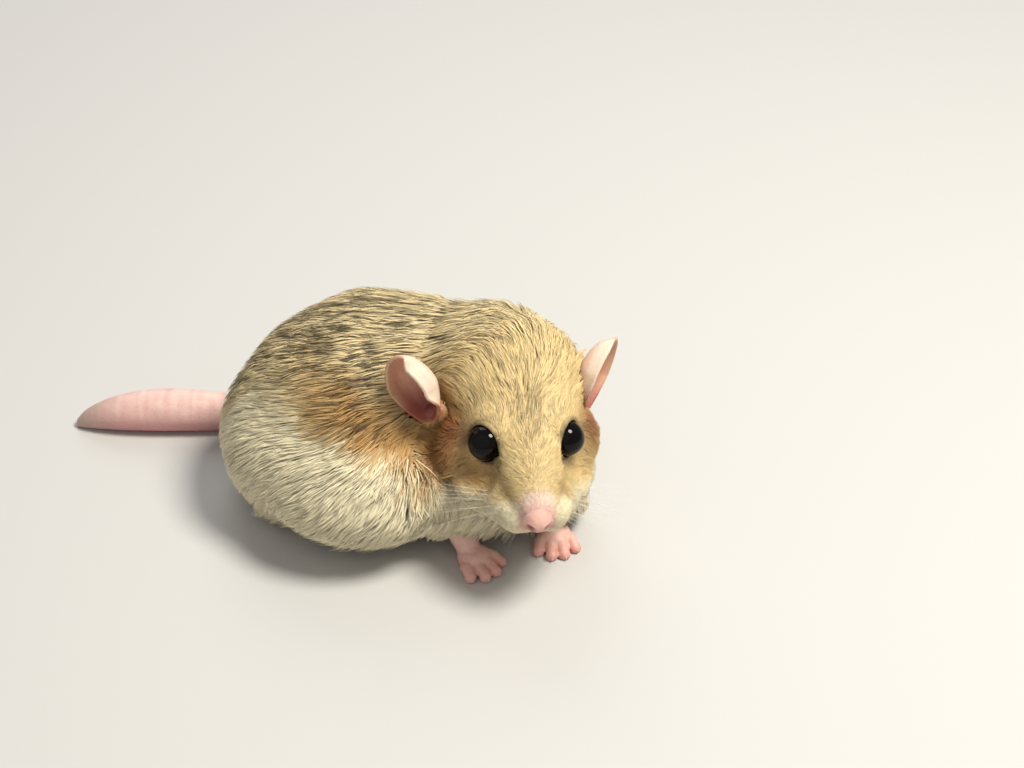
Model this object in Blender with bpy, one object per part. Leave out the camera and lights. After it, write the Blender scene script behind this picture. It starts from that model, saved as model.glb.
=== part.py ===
"""A fat-tailed gerbil, life size, crouched on the floor with its head turned over its forepaws.

Millimetres are written as numbers times MM. The animal is posed with +Z up and its nose towards -Y,
and stand_on_origin() then moves it so that the origin is on the floor at the middle of its bounding box.
The furry parts are solid out to the tips of the coat; the tail, ears, nose and feet are bare skin.
"""

import math

import bmesh
import bpy
from mathutils import Matrix, Vector

MM = 0.001
GAP = 0.32 * MM
BODY_VOXEL = 0.8 * MM
BODY_FACES = 3800
PAW_VOXEL = 0.26 * MM
PAW_FACES = 330

# Head, in its own frame: x from between the eyes to the nose, y to the animal's left, z up.
HEAD_AT = (2.5, -50.6, 27.0)
HEAD_HEADING = -80.5
HEAD_PITCH = 3.5
HEAD_ROLL = -4.0
# Each ring: x, half width, height above and depth below its own centre, and that centre's z.
HEAD_RINGS = (
    (15.8, 1.4, 1.3, 1.5, -5.2),
    (14.6, 2.5, 2.2, 2.8, -4.8),
    (12.4, 3.7, 3.2, 4.2, -4.2),
    (9.5, 5.3, 4.6, 5.8, -3.5),
    (5.7, 6.8, 6.3, 7.0, -2.9),
    (1.4, 8.3, 8.0, 8.0, -2.3),
    (-3.3, 10.9, 10.1, 9.4, -1.7),
    (-8.6, 13.2, 11.8, 10.3, -0.9),
    (-14.3, 14.4, 12.8, 11.2, -0.5),
    (-20.0, 13.6, 12.4, 11.4, 0.0),
    (-25.0, 9.5, 9.0, 8.6, 0.0),
)
# Rounded masses on both sides of the head: place in the head's frame and radii.
CHEEKS = (
    ((-8.0, 7.4, -5.2), (10.5, 8.2, 8.0)),
    ((-0.5, 6.0, -8.2), (9.0, 6.8, 5.6)),
    ((6.2, 4.8, -6.8), (5.6, 4.5, 4.8)),
    ((9.8, 3.0, -7.2), (4.8, 3.9, 3.5)),
    ((8.2, 1.2, -9.4), (4.8, 2.6, 2.6)),
)

# Trunk: a curved spine seen from above, from the rump to the chest, and rings along it.
RUMP = (-52.5, -21.5)
BACK = (-28.0, -33.5)
CHEST = (-2.0, -22.5)
# Each ring: the way along the spine, half width, the height where it is widest, top and underside.
TRUNK_RINGS = (
    (0.00, 6.0, 12.0, 18.5, 6.0),
    (0.05, 12.5, 12.0, 23.0, 2.5),
    (0.15, 18.0, 12.0, 31.0, 0.9),
    (0.32, 22.0, 12.0, 36.5, 0.8),
    (0.50, 24.0, 12.0, 39.6, 0.8),
    (0.68, 20.5, 12.0, 39.5, 0.8),
    (0.82, 17.2, 12.0, 38.8, 1.2),
    (0.93, 13.0, 13.0, 35.8, 3.0),
    (1.00, 6.5, 14.0, 28.0, 7.0),
)
# Rounded masses that swell the trunk: place, heading and radii along, across and up.
MASSES = {
    "nape": ((-3.2, -31.0, 24.4), -60.0, (16.0, 15.6, 15.8)),
    "breast": ((-0.8, -44.8, 13.5), -75.0, (9.5, 10.6, 9.5)),
    "flank_right": ((-27.0, -38.5, 13.5), -14.0, (21.5, 21.5, 12.7)),
    "shoulder_right": ((-12.5, -43.5, 10.0), -55.0, (11.0, 10.0, 9.2)),
    "shoulder_left": ((8.0, -38.6, 11.5), -70.0, (10.5, 7.9, 10.0)),
    "haunch_left": ((-33.5, -17.5, 13.5), -12.0, (15.5, 11.2, 12.6)),
    "haunch_right": ((-39.0, -39.5, 13.8), -32.0, (16.0, 12.0, 13.0)),
}


# Eyes, ears and muzzle, in the head's frame for the left side; the right side mirrors y.
EYE_AT = (0.0, 7.1, 0.0)
EYE_RADIUS = 3.3
EYE_OUTWARD = 55.0
EYE_UPWARD = 8.0
LID_RADIUS = 3.45
LID_THICKNESS = 0.58
LID_PROUD = 0.9
EAR_HALF_WIDTH = 4.8
EAR_HALF_HEIGHT = 6.9
EAR_DEPTH = 3.6
EAR_WALL = 0.7
EAR_LIFT = 5.9
EAR_OPEN = 0.12
EAR_TAPER = 0.3
EAR_PLUG = ((-1.6, 0.0, 0.2), (2.6, 3.0, 2.6))
EAR_DETAIL = 0.62
# Each ear's root, its own way up and the way that its cup opens; the left one is pricked a little more.
EARS = {
    "left": ((-9.4, 12.7, -0.8), (-0.42, 0.38, 0.80), (0.56, 0.83, 0.0)),
    "right": ((-7.9, -16.3, -0.2), (-0.26, -0.42, 0.87), (0.80, -0.56, 0.2)),
}
NOSE = ((14.7, 0.0, -5.5), (2.0, 2.2, 2.3))
NOSTRIL = ((15.9, 1.55, -5.9), (1.1, 0.42, 0.5))
NOSTRIL_HEADING = 45.0
PHILTRUM = ((16.6, 0.0, -6.9), (15.5, 0.0, -8.1), (14.0, 0.0, -9.6))
MOUTH = ((14.6, -1.2, -9.0), (12.6, 2.7, -9.6), (10.2, 4.7, -9.8), (7.4, 6.1, -9.3), (5.6, 7.6, -8.7))
PHILTRUM_RADIUS = 0.25
MOUTH_RADIUS = 0.36

# The side view of the space that parts the head, in its own frame: distance forward and height.
PARTING_HALF_WIDTHS = {"head": 16.6, "neck": 16.0}
PARTING_PROFILE = ((24.0, 20.0), (-18.5, 20.0), (-16.2, -2.0), (0.0, -15.5), (24.0, -15.5))

# Toes: the length and angle of each, from one side of the foot to the other, how far apart and how plump.
FORE_TOES = ((2.5, 22.0), (3.2, 7.0), (3.2, -7.0), (2.5, -22.0))
FORE_SPREAD = 1.85
FORE_PLUMP = 1.22
HIND_TOES = ((3.6, 26.0), (5.4, 9.0), (6.0, 1.0), (5.3, -8.0), (3.8, -22.0))
HIND_SPREAD = 1.45
HIND_PLUMP = 1.05
# A toe from its root: share of its length, height of its middle and radius; then its pad and its claw.
TOE_PATH = ((0.0, 1.1, 1.0), (0.35, 1.4, 0.9), (0.75, 1.1, 0.85), (1.0, 0.85, 0.85))
TOE_PAD = 0.95
CLAW_PATH = ((0.2, 1.15, 0.36), (0.9, 0.95, 0.28), (1.35, 0.55, 0.07))
# Palm or sole and the leg above it: places from the wrist or heel, each with its radius.
FORE_PALM = ((2.9, 0.0, 1.4), (3.3, 3.1, 2.1))
FORE_SOLE = (((-0.4, 0.0, 1.8), 1.8), ((1.2, 0.0, 1.9), 2.2), ((3.0, 0.0, 1.7), 2.1))
FORE_ANKLE = (((1.6, 0.0, 2.0), 2.1), ((-0.2, 0.0, 4.0), 2.5), ((-1.8, 0.0, 6.4), 2.9))
HIND_PALM = ((12.0, 0.0, 1.3), (3.6, 3.0, 2.0))
HIND_SOLE = (((0.4, 0.0, 1.9), 1.7), ((2.4, 0.0, 2.2), 2.2), ((8.0, 0.0, 1.8), 2.2), ((12.0, 0.0, 1.6), 2.2))
HIND_ANKLE = (((2.2, 0.0, 2.2), 2.0), ((1.6, 0.0, 4.2), 2.1), ((2.4, 0.0, 6.2), 2.2))
# Each foot: its wrist or heel on the floor, and heading.
FOREFEET = {
    "left": ((7.4, -44.2, 0.0), -82.0),
    "right": ((-9.0, -50.4, 0.0), -46.0),
}
HINDFEET = {
    "left": ((-39.5, -10.0, 0.0), -14.0),
    "right": ((-43.0, -35.0, 0.0), -24.0),
}
# Legs: the spaces that part them from the trunk, as places with radii, or place, heading and radii.
FORELEG_SPACES = {
    "left": (
        ((9.0, -30.0, 19.0), 8.0),
        ((9.5, -37.0, 11.0), 8.4),
        ((9.5, -43.0, 4.0), 5.4),
        ((9.5, -44.5, -1.0), 4.0),
    ),
    "right": (
        ((-14.0, -38.0, 19.0), 8.0),
        ((-12.5, -44.0, 11.0), 8.4),
        ((-10.0, -49.0, 4.0), 5.4),
        ((-9.0, -50.0, -1.0), 4.0),
    ),
}
HINDLEG_SPACES = {
    "left": ((-32.0, -13.0, 12.0), -12.0, (13.0, 12.0, 15.0)),
    "right": ((-40.0, -42.0, 12.0), -28.0, (13.5, 12.0, 15.0)),
}
# Tail: distance along -X and radius of each ring, from its root inside the rump to its tip.
TAIL_Y = -13.4
TAIL_RINGS = (
    (-44.0, 2.9),
    (-49.0, 3.4),
    (-55.8, 3.7),
    (-62.0, 4.1),
    (-68.3, 4.3),
    (-75.6, 3.9),
    (-81.0, 3.0),
    (-84.8, 1.9),
    (-86.6, 0.8),
)


def frame(at, heading, pitch=0.0, roll=0.0):
    """Local x forward, y left and z up, at a place in mm, from a heading, a nose-down pitch and a roll."""
    return (
        Matrix.Translation(Vector(at) * MM)
        @ Matrix.Rotation(math.radians(heading), 4, "Z")
        @ Matrix.Rotation(math.radians(pitch), 4, "Y")
        @ Matrix.Rotation(math.radians(roll), 4, "X")
    )


HEAD = frame(HEAD_AT, HEAD_HEADING, HEAD_PITCH, HEAD_ROLL)
NECK = frame(HEAD_AT, HEAD_HEADING + 10.0, HEAD_PITCH) @ Matrix.Translation((-6.5 * MM, 0.0, 0.0))


def on_head(x, y, z):
    return HEAD @ Matrix.Translation(Vector((x, y, z)) * MM)


def object_of(name, bm):
    bmesh.ops.recalc_face_normals(bm, faces=bm.faces)
    mesh = bpy.data.meshes.new(name)
    bm.to_mesh(mesh)
    bm.free()
    obj = bpy.data.objects.new(name, mesh)
    bpy.context.scene.collection.objects.link(obj)
    return obj


def applied(obj):
    """Turn an object's modifiers into its mesh."""
    bpy.context.view_layer.update()
    graph = bpy.context.evaluated_depsgraph_get()
    mesh = bpy.data.meshes.new_from_object(obj.evaluated_get(graph))
    obj.modifiers.clear()
    obj.data = mesh
    return obj


def largest_surface(obj):
    """Keep only the closed surface that holds the most space."""
    bm = bmesh.new()
    bm.from_mesh(obj.data)
    unseen = set(bm.verts)
    islands = []
    while unseen:
        island = {unseen.pop()}
        reached = list(island)
        while reached:
            vert = reached.pop()
            for edge in vert.link_edges:
                other = edge.other_vert(vert)
                if other in unseen:
                    unseen.discard(other)
                    island.add(other)
                    reached.append(other)
        islands.append(island)
    if len(islands) > 1:
        def extent(island):
            spans = [max(v.co[axis] for v in island) - min(v.co[axis] for v in island) for axis in range(3)]
            return spans[0] * spans[1] * spans[2]

        best = max(islands, key=extent)
        bmesh.ops.delete(bm, geom=[v for v in bm.verts if v not in best], context="VERTS")
    bm.to_mesh(obj.data)
    bm.free()
    return obj


def combine(obj, tool, operation):
    """Cut away or keep the space of a second object, which is left as it is.

    The exact solver leaves open edges where these soft surfaces nearly touch, so the manifold one is used.
    """
    change = obj.modifiers.new(operation.lower(), "BOOLEAN")
    change.operation = operation
    change.solver = "MANIFOLD"
    change.object = tool
    return largest_surface(applied(obj))


def union(name, pieces):
    """One closed body from a collection of closed meshes, which are then removed."""
    group = bpy.data.collections.new(name)
    for piece in pieces[1:]:
        group.objects.link(piece)
    whole = pieces[0]
    whole.name = name
    change = whole.modifiers.new("union", "BOOLEAN")
    change.operation = "UNION"
    change.operand_type = "COLLECTION"
    change.collection = group
    applied(whole)
    for piece in pieces[1:]:
        bpy.data.objects.remove(piece)
    bpy.data.collections.remove(group)
    return largest_surface(whole)


def copy_of(obj, grow=0.0):
    """A copy of an object, swollen along its normals."""
    bm = bmesh.new()
    bm.from_mesh(obj.data)
    bm.normal_update()
    for vert, normal in [(vert, vert.normal.copy()) for vert in bm.verts]:
        vert.co += normal * grow
    return object_of(obj.name + "_copy", bm)


def fused(name, pieces, voxel, faces, smoothing):
    """Overlapping closed shapes melted into one smooth skin, of about so many triangles where that is given."""
    whole = union(name, pieces)
    melt = whole.modifiers.new("melt", "REMESH")
    melt.mode = "VOXEL"
    melt.voxel_size = voxel
    applied(whole)
    smooth = whole.modifiers.new("smooth", "SMOOTH")
    smooth.factor = 0.5
    smooth.iterations = smoothing
    if faces:
        thin = whole.modifiers.new("thin", "DECIMATE")
        thin.ratio = faces / (2 * len(whole.data.polygons))
    return applied(whole)


def loft(name, rings, segments=40):
    """A closed tube through oval rings, each a frame with its half width, height above and depth below."""
    bm = bmesh.new()
    loops = []
    for at, half_width, above, below in rings:
        made = bmesh.ops.create_circle(bm, segments=segments, radius=1.0)["verts"]
        for vert in made:
            across, up = vert.co.x, vert.co.y
            tall = above if up > 0 else below
            vert.co = at @ Vector((0.0, across * half_width * MM, up * tall * MM))
        loops.append(set(made))
    edges_of = [[e for e in bm.edges if e.verts[0] in loop and e.verts[1] in loop] for loop in loops]
    for near, far in zip(edges_of, edges_of[1:]):
        bmesh.ops.bridge_loops(bm, edges=near + far)
    for end in (edges_of[0], edges_of[-1]):
        bmesh.ops.contextual_create(bm, geom=end)
    return object_of(name, bm)


def limb(name, points, at=Matrix.Identity(4), segments=12):
    """A round tube through places in mm, each with its radius."""
    places = [Vector(place) for place, radius in points]
    rings = []
    for index, (place, radius) in enumerate(points):
        way = places[min(index + 1, len(places) - 1)] - places[max(index - 1, 0)]
        turn = way.to_track_quat("X", "Z").to_matrix().to_4x4()
        rings.append((at @ Matrix.Translation(Vector(place) * MM) @ turn, radius, radius, radius))
    return loft(name, rings, segments)


def ellipsoid(name, at, radii, detail=4):
    bm = bmesh.new()
    shape = at @ Matrix.Diagonal((*(Vector(radii) * MM), 1.0))
    bmesh.ops.create_icosphere(bm, subdivisions=detail, radius=1.0, matrix=shape)
    return object_of(name, bm)


def ring_of(name, at, radius, thickness, steps=24, sides=6):
    """A round ring about the local x axis."""
    bm = bmesh.new()
    turn = Matrix.Translation((0.0, 0.0, radius * MM)) @ Matrix.Rotation(math.radians(90.0), 4, "X")
    bmesh.ops.create_circle(bm, segments=sides, radius=thickness * MM, matrix=turn)
    geom = bm.verts[:] + bm.edges[:]
    bmesh.ops.spin(bm, geom=geom, cent=(0, 0, 0), axis=(1, 0, 0), angle=math.tau, steps=steps, use_merge=True)
    bmesh.ops.remove_doubles(bm, verts=bm.verts, dist=1e-7)
    bmesh.ops.transform(bm, matrix=at, verts=bm.verts)
    return object_of(name, bm)


def press_on_floor(obj):
    """Flatten what would reach below the floor."""
    for vert in obj.data.vertices:
        vert.co.z = max(vert.co.z, 0.0)
    return obj


def spine(along):
    """The place and heading on the trunk's curved spine, seen from above."""
    start, middle, end = Vector(RUMP), Vector(BACK), Vector(CHEST)
    place = start * (1 - along) ** 2 + middle * 2 * along * (1 - along) + end * along**2
    way = (middle - start) * (1 - along) + (end - middle) * along
    return place, math.degrees(math.atan2(way.y, way.x))


def trunk_loft():
    rings = []
    for along, half_width, widest, top, underside in TRUNK_RINGS:
        place, heading = spine(along)
        at = frame((place.x, place.y, widest), heading)
        rings.append((at, half_width, top - widest, widest - underside))
    return loft("trunk", rings)


def head_loft():
    rings = [(on_head(x, 0, z), wide, above, below) for x, wide, above, below, z in HEAD_RINGS]
    return loft("skull", rings)


def flesh():
    """Trunk, head and their rounded masses as one skin; the trunk is softened before the head joins it."""
    pieces = [trunk_loft()]
    for name, (at, heading, radii) in MASSES.items():
        pieces.append(ellipsoid(name, frame(at, heading), radii))
    pieces = [fused("trunk", pieces, BODY_VOXEL, None, 30), head_loft()]
    for (x, y, z), radii in CHEEKS:
        for side in (1, -1):
            pieces.append(ellipsoid("cheek", on_head(x, y * side, z), radii))
    return fused("flesh", pieces, BODY_VOXEL, BODY_FACES, 7)


def parting_space(name, at, half_width):
    """The space in front of a folded plane that passes behind the ears and under the throat."""
    bm = bmesh.new()
    profile = [bm.verts.new(Vector((x, -half_width, z)) * MM) for x, z in PARTING_PROFILE]
    face = bm.faces.new(profile)
    drawn = bmesh.ops.extrude_face_region(bm, geom=[face])["geom"]
    across = Vector((0.0, 2 * half_width * MM, 0.0))
    bmesh.ops.translate(bm, vec=across, verts=[item for item in drawn if isinstance(item, bmesh.types.BMVert)])
    bmesh.ops.transform(bm, matrix=at, verts=bm.verts)
    return object_of(name, bm)


def eye_frame(side):
    x, y, z = EYE_AT
    return on_head(x, y * side, z) @ frame((0, 0, 0), EYE_OUTWARD * side, -EYE_UPWARD)


def head_features(head):
    """Lids and nose joined to the head, then eye sockets, nostrils and the line of the mouth cut."""
    added = [head]
    for side in (1, -1):
        lid_at = eye_frame(side) @ Matrix.Translation((LID_PROUD * MM, 0.0, 0.0))
        added.append(ring_of("lid", lid_at, LID_RADIUS, LID_THICKNESS))
    place, radii = NOSE
    added.append(ellipsoid("nose", on_head(*place), radii, 3))
    head = union("head", added)
    cutters = [limb("philtrum", [(place, PHILTRUM_RADIUS) for place in PHILTRUM], HEAD, 8)]
    for side in (1, -1):
        cutters.append(ellipsoid("socket", eye_frame(side), [EYE_RADIUS + GAP / MM] * 3, 3))
        (x, y, z), radii = NOSTRIL
        at = on_head(x, y * side, z) @ frame((0, 0, 0), NOSTRIL_HEADING * side)
        cutters.append(ellipsoid("nostril", at, radii, 2))
        line = [((x, y * side, z), MOUTH_RADIUS) for x, y, z in MOUTH]
        cutters.append(limb("mouth", line, HEAD, 8))
    for cutter in cutters:
        combine(head, cutter, "DIFFERENCE")
        bpy.data.objects.remove(cutter)
    return head


def ear(side):
    """A thin open cup on a solid root."""
    root, up, out = (Vector(item) for item in EARS[side])
    up.normalize()
    out = (out - up * out.dot(up)).normalized()
    turn = Matrix((out, up.cross(out), up)).transposed().to_4x4()
    base = on_head(*root) @ turn
    bm = bmesh.new()
    bmesh.ops.create_icosphere(bm, subdivisions=3, radius=1.0)
    geom = bm.verts[:] + bm.edges[:] + bm.faces[:]
    bmesh.ops.bisect_plane(bm, geom=geom, plane_co=(EAR_OPEN, 0, 0), plane_no=(1, 0, 0), clear_outer=True)
    for vert in bm.verts:
        low = max(0.0, -vert.co.z)
        wide = EAR_HALF_WIDTH * (1.0 - EAR_TAPER * low)
        place = Vector((vert.co.x * EAR_DEPTH, vert.co.y * wide, vert.co.z * EAR_HALF_HEIGHT + EAR_LIFT))
        vert.co = place * MM
    cup = object_of("cup", bm)
    wall = cup.modifiers.new("wall", "SOLIDIFY")
    wall.thickness = EAR_WALL * MM
    wall.offset = -1.0
    applied(cup)
    place, radii = EAR_PLUG
    plug = ellipsoid("plug", frame(place, 0.0), radii, 2)
    whole = union("ear", [cup, plug])
    thin = whole.modifiers.new("thin", "DECIMATE")
    thin.ratio = EAR_DETAIL
    applied(whole)
    whole.data.transform(base)
    return whole


def paw(at, heading, palm, sole, ankle, toes, spread, plump):
    """A foot with its toes side by side on the floor and a claw on each, flat where it stands."""
    base = frame(at, heading)
    place, radii = palm
    pieces = [ellipsoid("palm", base @ Matrix.Translation(Vector(place) * MM), radii, 3)]
    pieces += [limb("sole", sole, base, 14), limb("ankle", ankle, base, 14)]
    claws = []
    front = place[0] + radii[0]
    middle = (len(toes) - 1) / 2
    for number, (length, angle) in enumerate(toes):
        aside = middle - number
        root = Vector((front - 1.6 - abs(aside) * 0.6, aside * spread, 0.0))
        way = Vector((math.cos(math.radians(angle)), math.sin(math.radians(angle)), 0.0))
        upward = Vector((0.0, 0.0, 1.0))
        tip = root + way * length
        path = []
        for share, high, radius in TOE_PATH:
            path.append((root + way * length * share + upward * high, radius * plump))
        pieces.append(limb("toe", path, base, 10))
        pad = base @ Matrix.Translation((tip + upward * 0.75) * MM)
        pieces.append(ellipsoid("pad", pad, (TOE_PAD * plump,) * 3, 3))
        claw = [(tip + way * (ahead * plump) + upward * high, radius) for ahead, high, radius in CLAW_PATH]
        claws.append(limb("claw", claw, base, 5))
    foot = fused("foot", pieces, PAW_VOXEL, PAW_FACES, 3)
    press_on_floor(foot)
    return union("foot", [foot] + claws)


def tail():
    heading = 180.0
    rings = []
    for x, radius in TAIL_RINGS:
        rings.append((frame((x, TAIL_Y, radius * 0.94), heading), radius, radius, radius))
    return press_on_floor(loft("tail", rings, 24))


def material(name, colour, roughness):
    made = bpy.data.materials.new(name)
    made.use_nodes = True
    shader = made.node_tree.nodes["Principled BSDF"]
    shader.inputs["Base Color"].default_value = (*colour, 1.0)
    shader.inputs["Roughness"].default_value = roughness
    shader.inputs["Metallic"].default_value = 0.0
    return made


def parted(name, whole, space, others):
    """The flesh within a space, clear of the spaces already given away."""
    piece = copy_of(whole)
    piece.name = name
    if space:
        combine(piece, space, "INTERSECT")
    for other in others:
        combine(piece, other, "DIFFERENCE")
    return piece


def build():
    whole = flesh()
    spaces = {
        "head": parting_space("head_space", HEAD, PARTING_HALF_WIDTHS["head"]),
        "neck": parting_space("neck_space", NECK, PARTING_HALF_WIDTHS["neck"]),
    }
    for side in ("left", "right"):
        spaces["foreleg_" + side] = limb("space", FORELEG_SPACES[side], segments=24)
        at, heading, radii = HINDLEG_SPACES[side]
        spaces["hindleg_" + side] = ellipsoid("space", frame(at, heading), radii, 3)
    grown = {name: copy_of(space, GAP) for name, space in spaces.items()}
    parts = {}
    taken = []
    for name, space in spaces.items():
        parts[name] = parted(name, whole, space, taken)
        taken.append(grown[name])
    parts["torso"] = parted("torso", whole, None, taken)
    for scrap in [whole, *spaces.values(), *grown.values()]:
        bpy.data.objects.remove(scrap)
    parts["head"] = head_features(parts["head"])
    rooted = {"tail": (tail(), ("torso", "hindleg_left"))}
    for side in ("left", "right"):
        rooted["ear_" + side] = (ear(side), ("head", "neck", "torso"))
        at, heading = FOREFEET[side]
        fore = paw(at, heading, FORE_PALM, FORE_SOLE, FORE_ANKLE, FORE_TOES, FORE_SPREAD, FORE_PLUMP)
        rooted["forefoot_" + side] = (fore, ("foreleg_" + side, "torso"))
        at, heading = HINDFEET[side]
        hind = paw(at, heading, HIND_PALM, HIND_SOLE, HIND_ANKLE, HIND_TOES, HIND_SPREAD, HIND_PLUMP)
        rooted["hindfoot_" + side] = (hind, ("hindleg_" + side, "torso"))
    for name, (piece, hosts) in rooted.items():
        piece.name = name
        cutter = copy_of(piece, GAP)
        for host in hosts:
            combine(parts[host], cutter, "DIFFERENCE")
        bpy.data.objects.remove(cutter)
        parts[name] = piece
    for side, sign in (("left", 1), ("right", -1)):
        parts["eye_" + side] = ellipsoid("eye_" + side, eye_frame(sign), (EYE_RADIUS,) * 3, 3)
    return parts


def finish(parts):
    furs = {"head": (0.62, 0.47, 0.26), "torso": (0.56, 0.43, 0.25)}
    bare = {"tail": (0.72, 0.42, 0.36), "ear": (0.80, 0.55, 0.46), "forefoot": (0.80, 0.50, 0.44)}
    for name, piece in parts.items():
        kind = name.split("_")[0]
        if kind == "eye":
            surface = material(name, (0.01, 0.008, 0.008), 0.08)
        else:
            colour = furs.get(kind) or bare.get(kind) or bare["forefoot"]
            if kind in ("neck", "foreleg", "hindleg"):
                colour = furs["torso"]
            surface = material(name, colour, 0.8)
        piece.data.materials.clear()
        piece.data.materials.append(surface)
        piece.data.shade_smooth()
        piece.data.set_sharp_from_angle(angle=math.radians(50.0))


def stand_on_origin(parts):
    corners = [vert.co for piece in parts.values() for vert in piece.data.vertices]
    low = Vector([min(corner[axis] for corner in corners) for axis in range(3)])
    high = Vector([max(corner[axis] for corner in corners) for axis in range(3)])
    shift = Vector((-(low.x + high.x) / 2, -(low.y + high.y) / 2, -low.z))
    for piece in parts.values():
        piece.data.transform(Matrix.Translation(shift))


for old in list(bpy.data.objects):
    bpy.data.objects.remove(old)
nodes = build()
finish(nodes)
stand_on_origin(nodes)
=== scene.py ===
"""A fat-tailed gerbil, life size: one skin, a coat of fine tufts, eyes, claws and whiskers."""

import math

import bmesh
import bpy
import numpy as np
from mathutils import Matrix, Vector
from mathutils.bvhtree import BVHTree
from mathutils.kdtree import KDTree


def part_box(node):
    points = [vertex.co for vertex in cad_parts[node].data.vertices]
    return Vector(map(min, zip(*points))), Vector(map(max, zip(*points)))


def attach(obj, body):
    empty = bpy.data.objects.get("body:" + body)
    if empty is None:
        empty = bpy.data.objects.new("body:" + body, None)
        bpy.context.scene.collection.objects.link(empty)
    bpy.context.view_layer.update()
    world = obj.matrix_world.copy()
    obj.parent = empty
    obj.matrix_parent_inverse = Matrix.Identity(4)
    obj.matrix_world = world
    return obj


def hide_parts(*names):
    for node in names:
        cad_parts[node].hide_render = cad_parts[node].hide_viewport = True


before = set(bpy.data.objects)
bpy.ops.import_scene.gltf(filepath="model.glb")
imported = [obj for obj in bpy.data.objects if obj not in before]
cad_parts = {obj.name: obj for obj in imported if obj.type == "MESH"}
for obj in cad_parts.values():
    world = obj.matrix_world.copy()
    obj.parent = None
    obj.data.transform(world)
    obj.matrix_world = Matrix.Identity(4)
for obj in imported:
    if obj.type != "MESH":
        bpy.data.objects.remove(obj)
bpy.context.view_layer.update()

MM = 0.001
SIDES = (("left", 1), ("right", -1))

# The same named sizes as the solids
HEAD_AT = (2.5, -50.6, 27.0)
HEAD_HEADING = -80.5
HEAD_PITCH = 3.5
HEAD_ROLL = -4.0
HEAD_RINGS = (
    (15.8, 1.4, 1.3, 1.5, -5.2),
    (14.6, 2.5, 2.2, 2.8, -4.8),
    (12.4, 3.7, 3.2, 4.2, -4.2),
    (9.5, 5.3, 4.6, 5.8, -3.5),
    (5.7, 6.8, 6.3, 7.0, -2.9),
    (1.4, 8.3, 8.0, 8.0, -2.3),
    (-3.3, 10.9, 10.1, 9.4, -1.7),
    (-8.6, 13.2, 11.8, 10.3, -0.9),
    (-14.3, 14.4, 12.8, 11.2, -0.5),
    (-20.0, 13.6, 12.4, 11.4, 0.0),
    (-25.0, 9.5, 9.0, 8.6, 0.0),
)
CHEEKS = (
    ((-8.0, 7.4, -5.2), (10.5, 8.2, 8.0)),
    ((-0.5, 6.0, -8.2), (9.0, 6.8, 5.6)),
    ((6.2, 4.8, -6.8), (5.6, 4.5, 4.8)),
    ((9.8, 3.0, -7.2), (4.8, 3.9, 3.5)),
    ((8.2, 1.2, -9.4), (4.8, 2.6, 2.6)),
)
RUMP = (-52.5, -21.5)
BACK = (-28.0, -33.5)
CHEST = (-2.0, -22.5)
TRUNK_RINGS = (
    (0.00, 6.0, 12.0, 18.5, 6.0),
    (0.05, 12.5, 12.0, 23.0, 2.5),
    (0.15, 18.0, 12.0, 31.0, 0.9),
    (0.32, 22.0, 12.0, 36.5, 0.8),
    (0.50, 24.0, 12.0, 39.6, 0.8),
    (0.68, 20.5, 12.0, 39.5, 0.8),
    (0.82, 17.2, 12.0, 38.8, 1.2),
    (0.93, 13.0, 13.0, 35.8, 3.0),
    (1.00, 6.5, 14.0, 28.0, 7.0),
)
MASSES = (
    ((-3.2, -31.0, 24.4), -60.0, (16.0, 15.6, 15.8)),
    ((-0.8, -44.8, 13.5), -75.0, (9.5, 10.6, 9.5)),
    ((-27.0, -38.5, 13.5), -14.0, (21.5, 21.5, 12.7)),
    ((-12.5, -43.5, 10.0), -55.0, (11.0, 10.0, 9.2)),
    ((8.0, -38.6, 11.5), -70.0, (10.5, 7.9, 10.0)),
    ((-33.5, -17.5, 13.5), -12.0, (15.5, 11.2, 12.6)),
    ((-39.0, -39.5, 13.8), -32.0, (16.0, 12.0, 13.0)),
)
EYE_AT = (0.0, 7.1, 0.0)
EYE_RADIUS = 3.3
EYE_OUTWARD = 55.0
EYE_UPWARD = 8.0
EYE_OPEN = 3.2
EYE_CORNER = 0.07
LID_WALL = 0.26
ORBIT_RISE = 0.35
ORBIT_SLOPE = 0.28
EAR_HALF_WIDTH = 4.8
EAR_HALF_HEIGHT = 6.9
EAR_DEPTH = 3.6
EAR_LIFT = 5.9
EAR_CURL = {"left": 0.3, "right": 1.0}
EARS = {
    "left": ((-9.4, 12.7, -0.8), (-0.42, 0.38, 0.80), (0.56, 0.83, 0.0)),
    "right": ((-7.9, -16.3, -0.2), (-0.26, -0.42, 0.87), (0.80, -0.56, 0.2)),
}
NOSE = ((14.7, 0.0, -5.5), (2.0, 2.2, 2.3))
NOSTRIL = (15.9, 1.55, -5.9)
PHILTRUM = ((16.6, 0.0, -6.9), (15.5, 0.0, -8.1), (14.0, 0.0, -9.6))
MOUTH = (
    (14.6, -1.2, -9.0),
    (12.6, 2.7, -9.6),
    (10.2, 4.7, -9.8),
    (7.4, 6.1, -9.3),
    (5.6, 7.6, -8.7),
)
FORE_TOES = ((2.7, 16.0), (3.5, 5.0), (3.5, -5.0), (2.7, -16.0))
FORE_SPREAD = 1.78
FORE_PLUMP = 1.22
HIND_TOES = ((3.6, 26.0), (5.4, 9.0), (6.0, 1.0), (5.3, -8.0), (3.8, -22.0))
HIND_SPREAD = 1.45
HIND_PLUMP = 1.05
TOE_PATH = ((0.0, 1.1, 0.98), (0.35, 1.4, 0.88), (0.75, 1.1, 0.82), (1.0, 0.85, 0.82))
TOE_PAD = 0.93
CLAW_PATH = ((0.2, 1.15, 0.28), (0.6, 1.05, 0.22), (0.95, 0.85, 0.13), (1.15, 0.6, 0.04))
FORE_PALM = ((2.9, 0.0, 1.4), (3.3, 3.1, 2.1))
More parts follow.
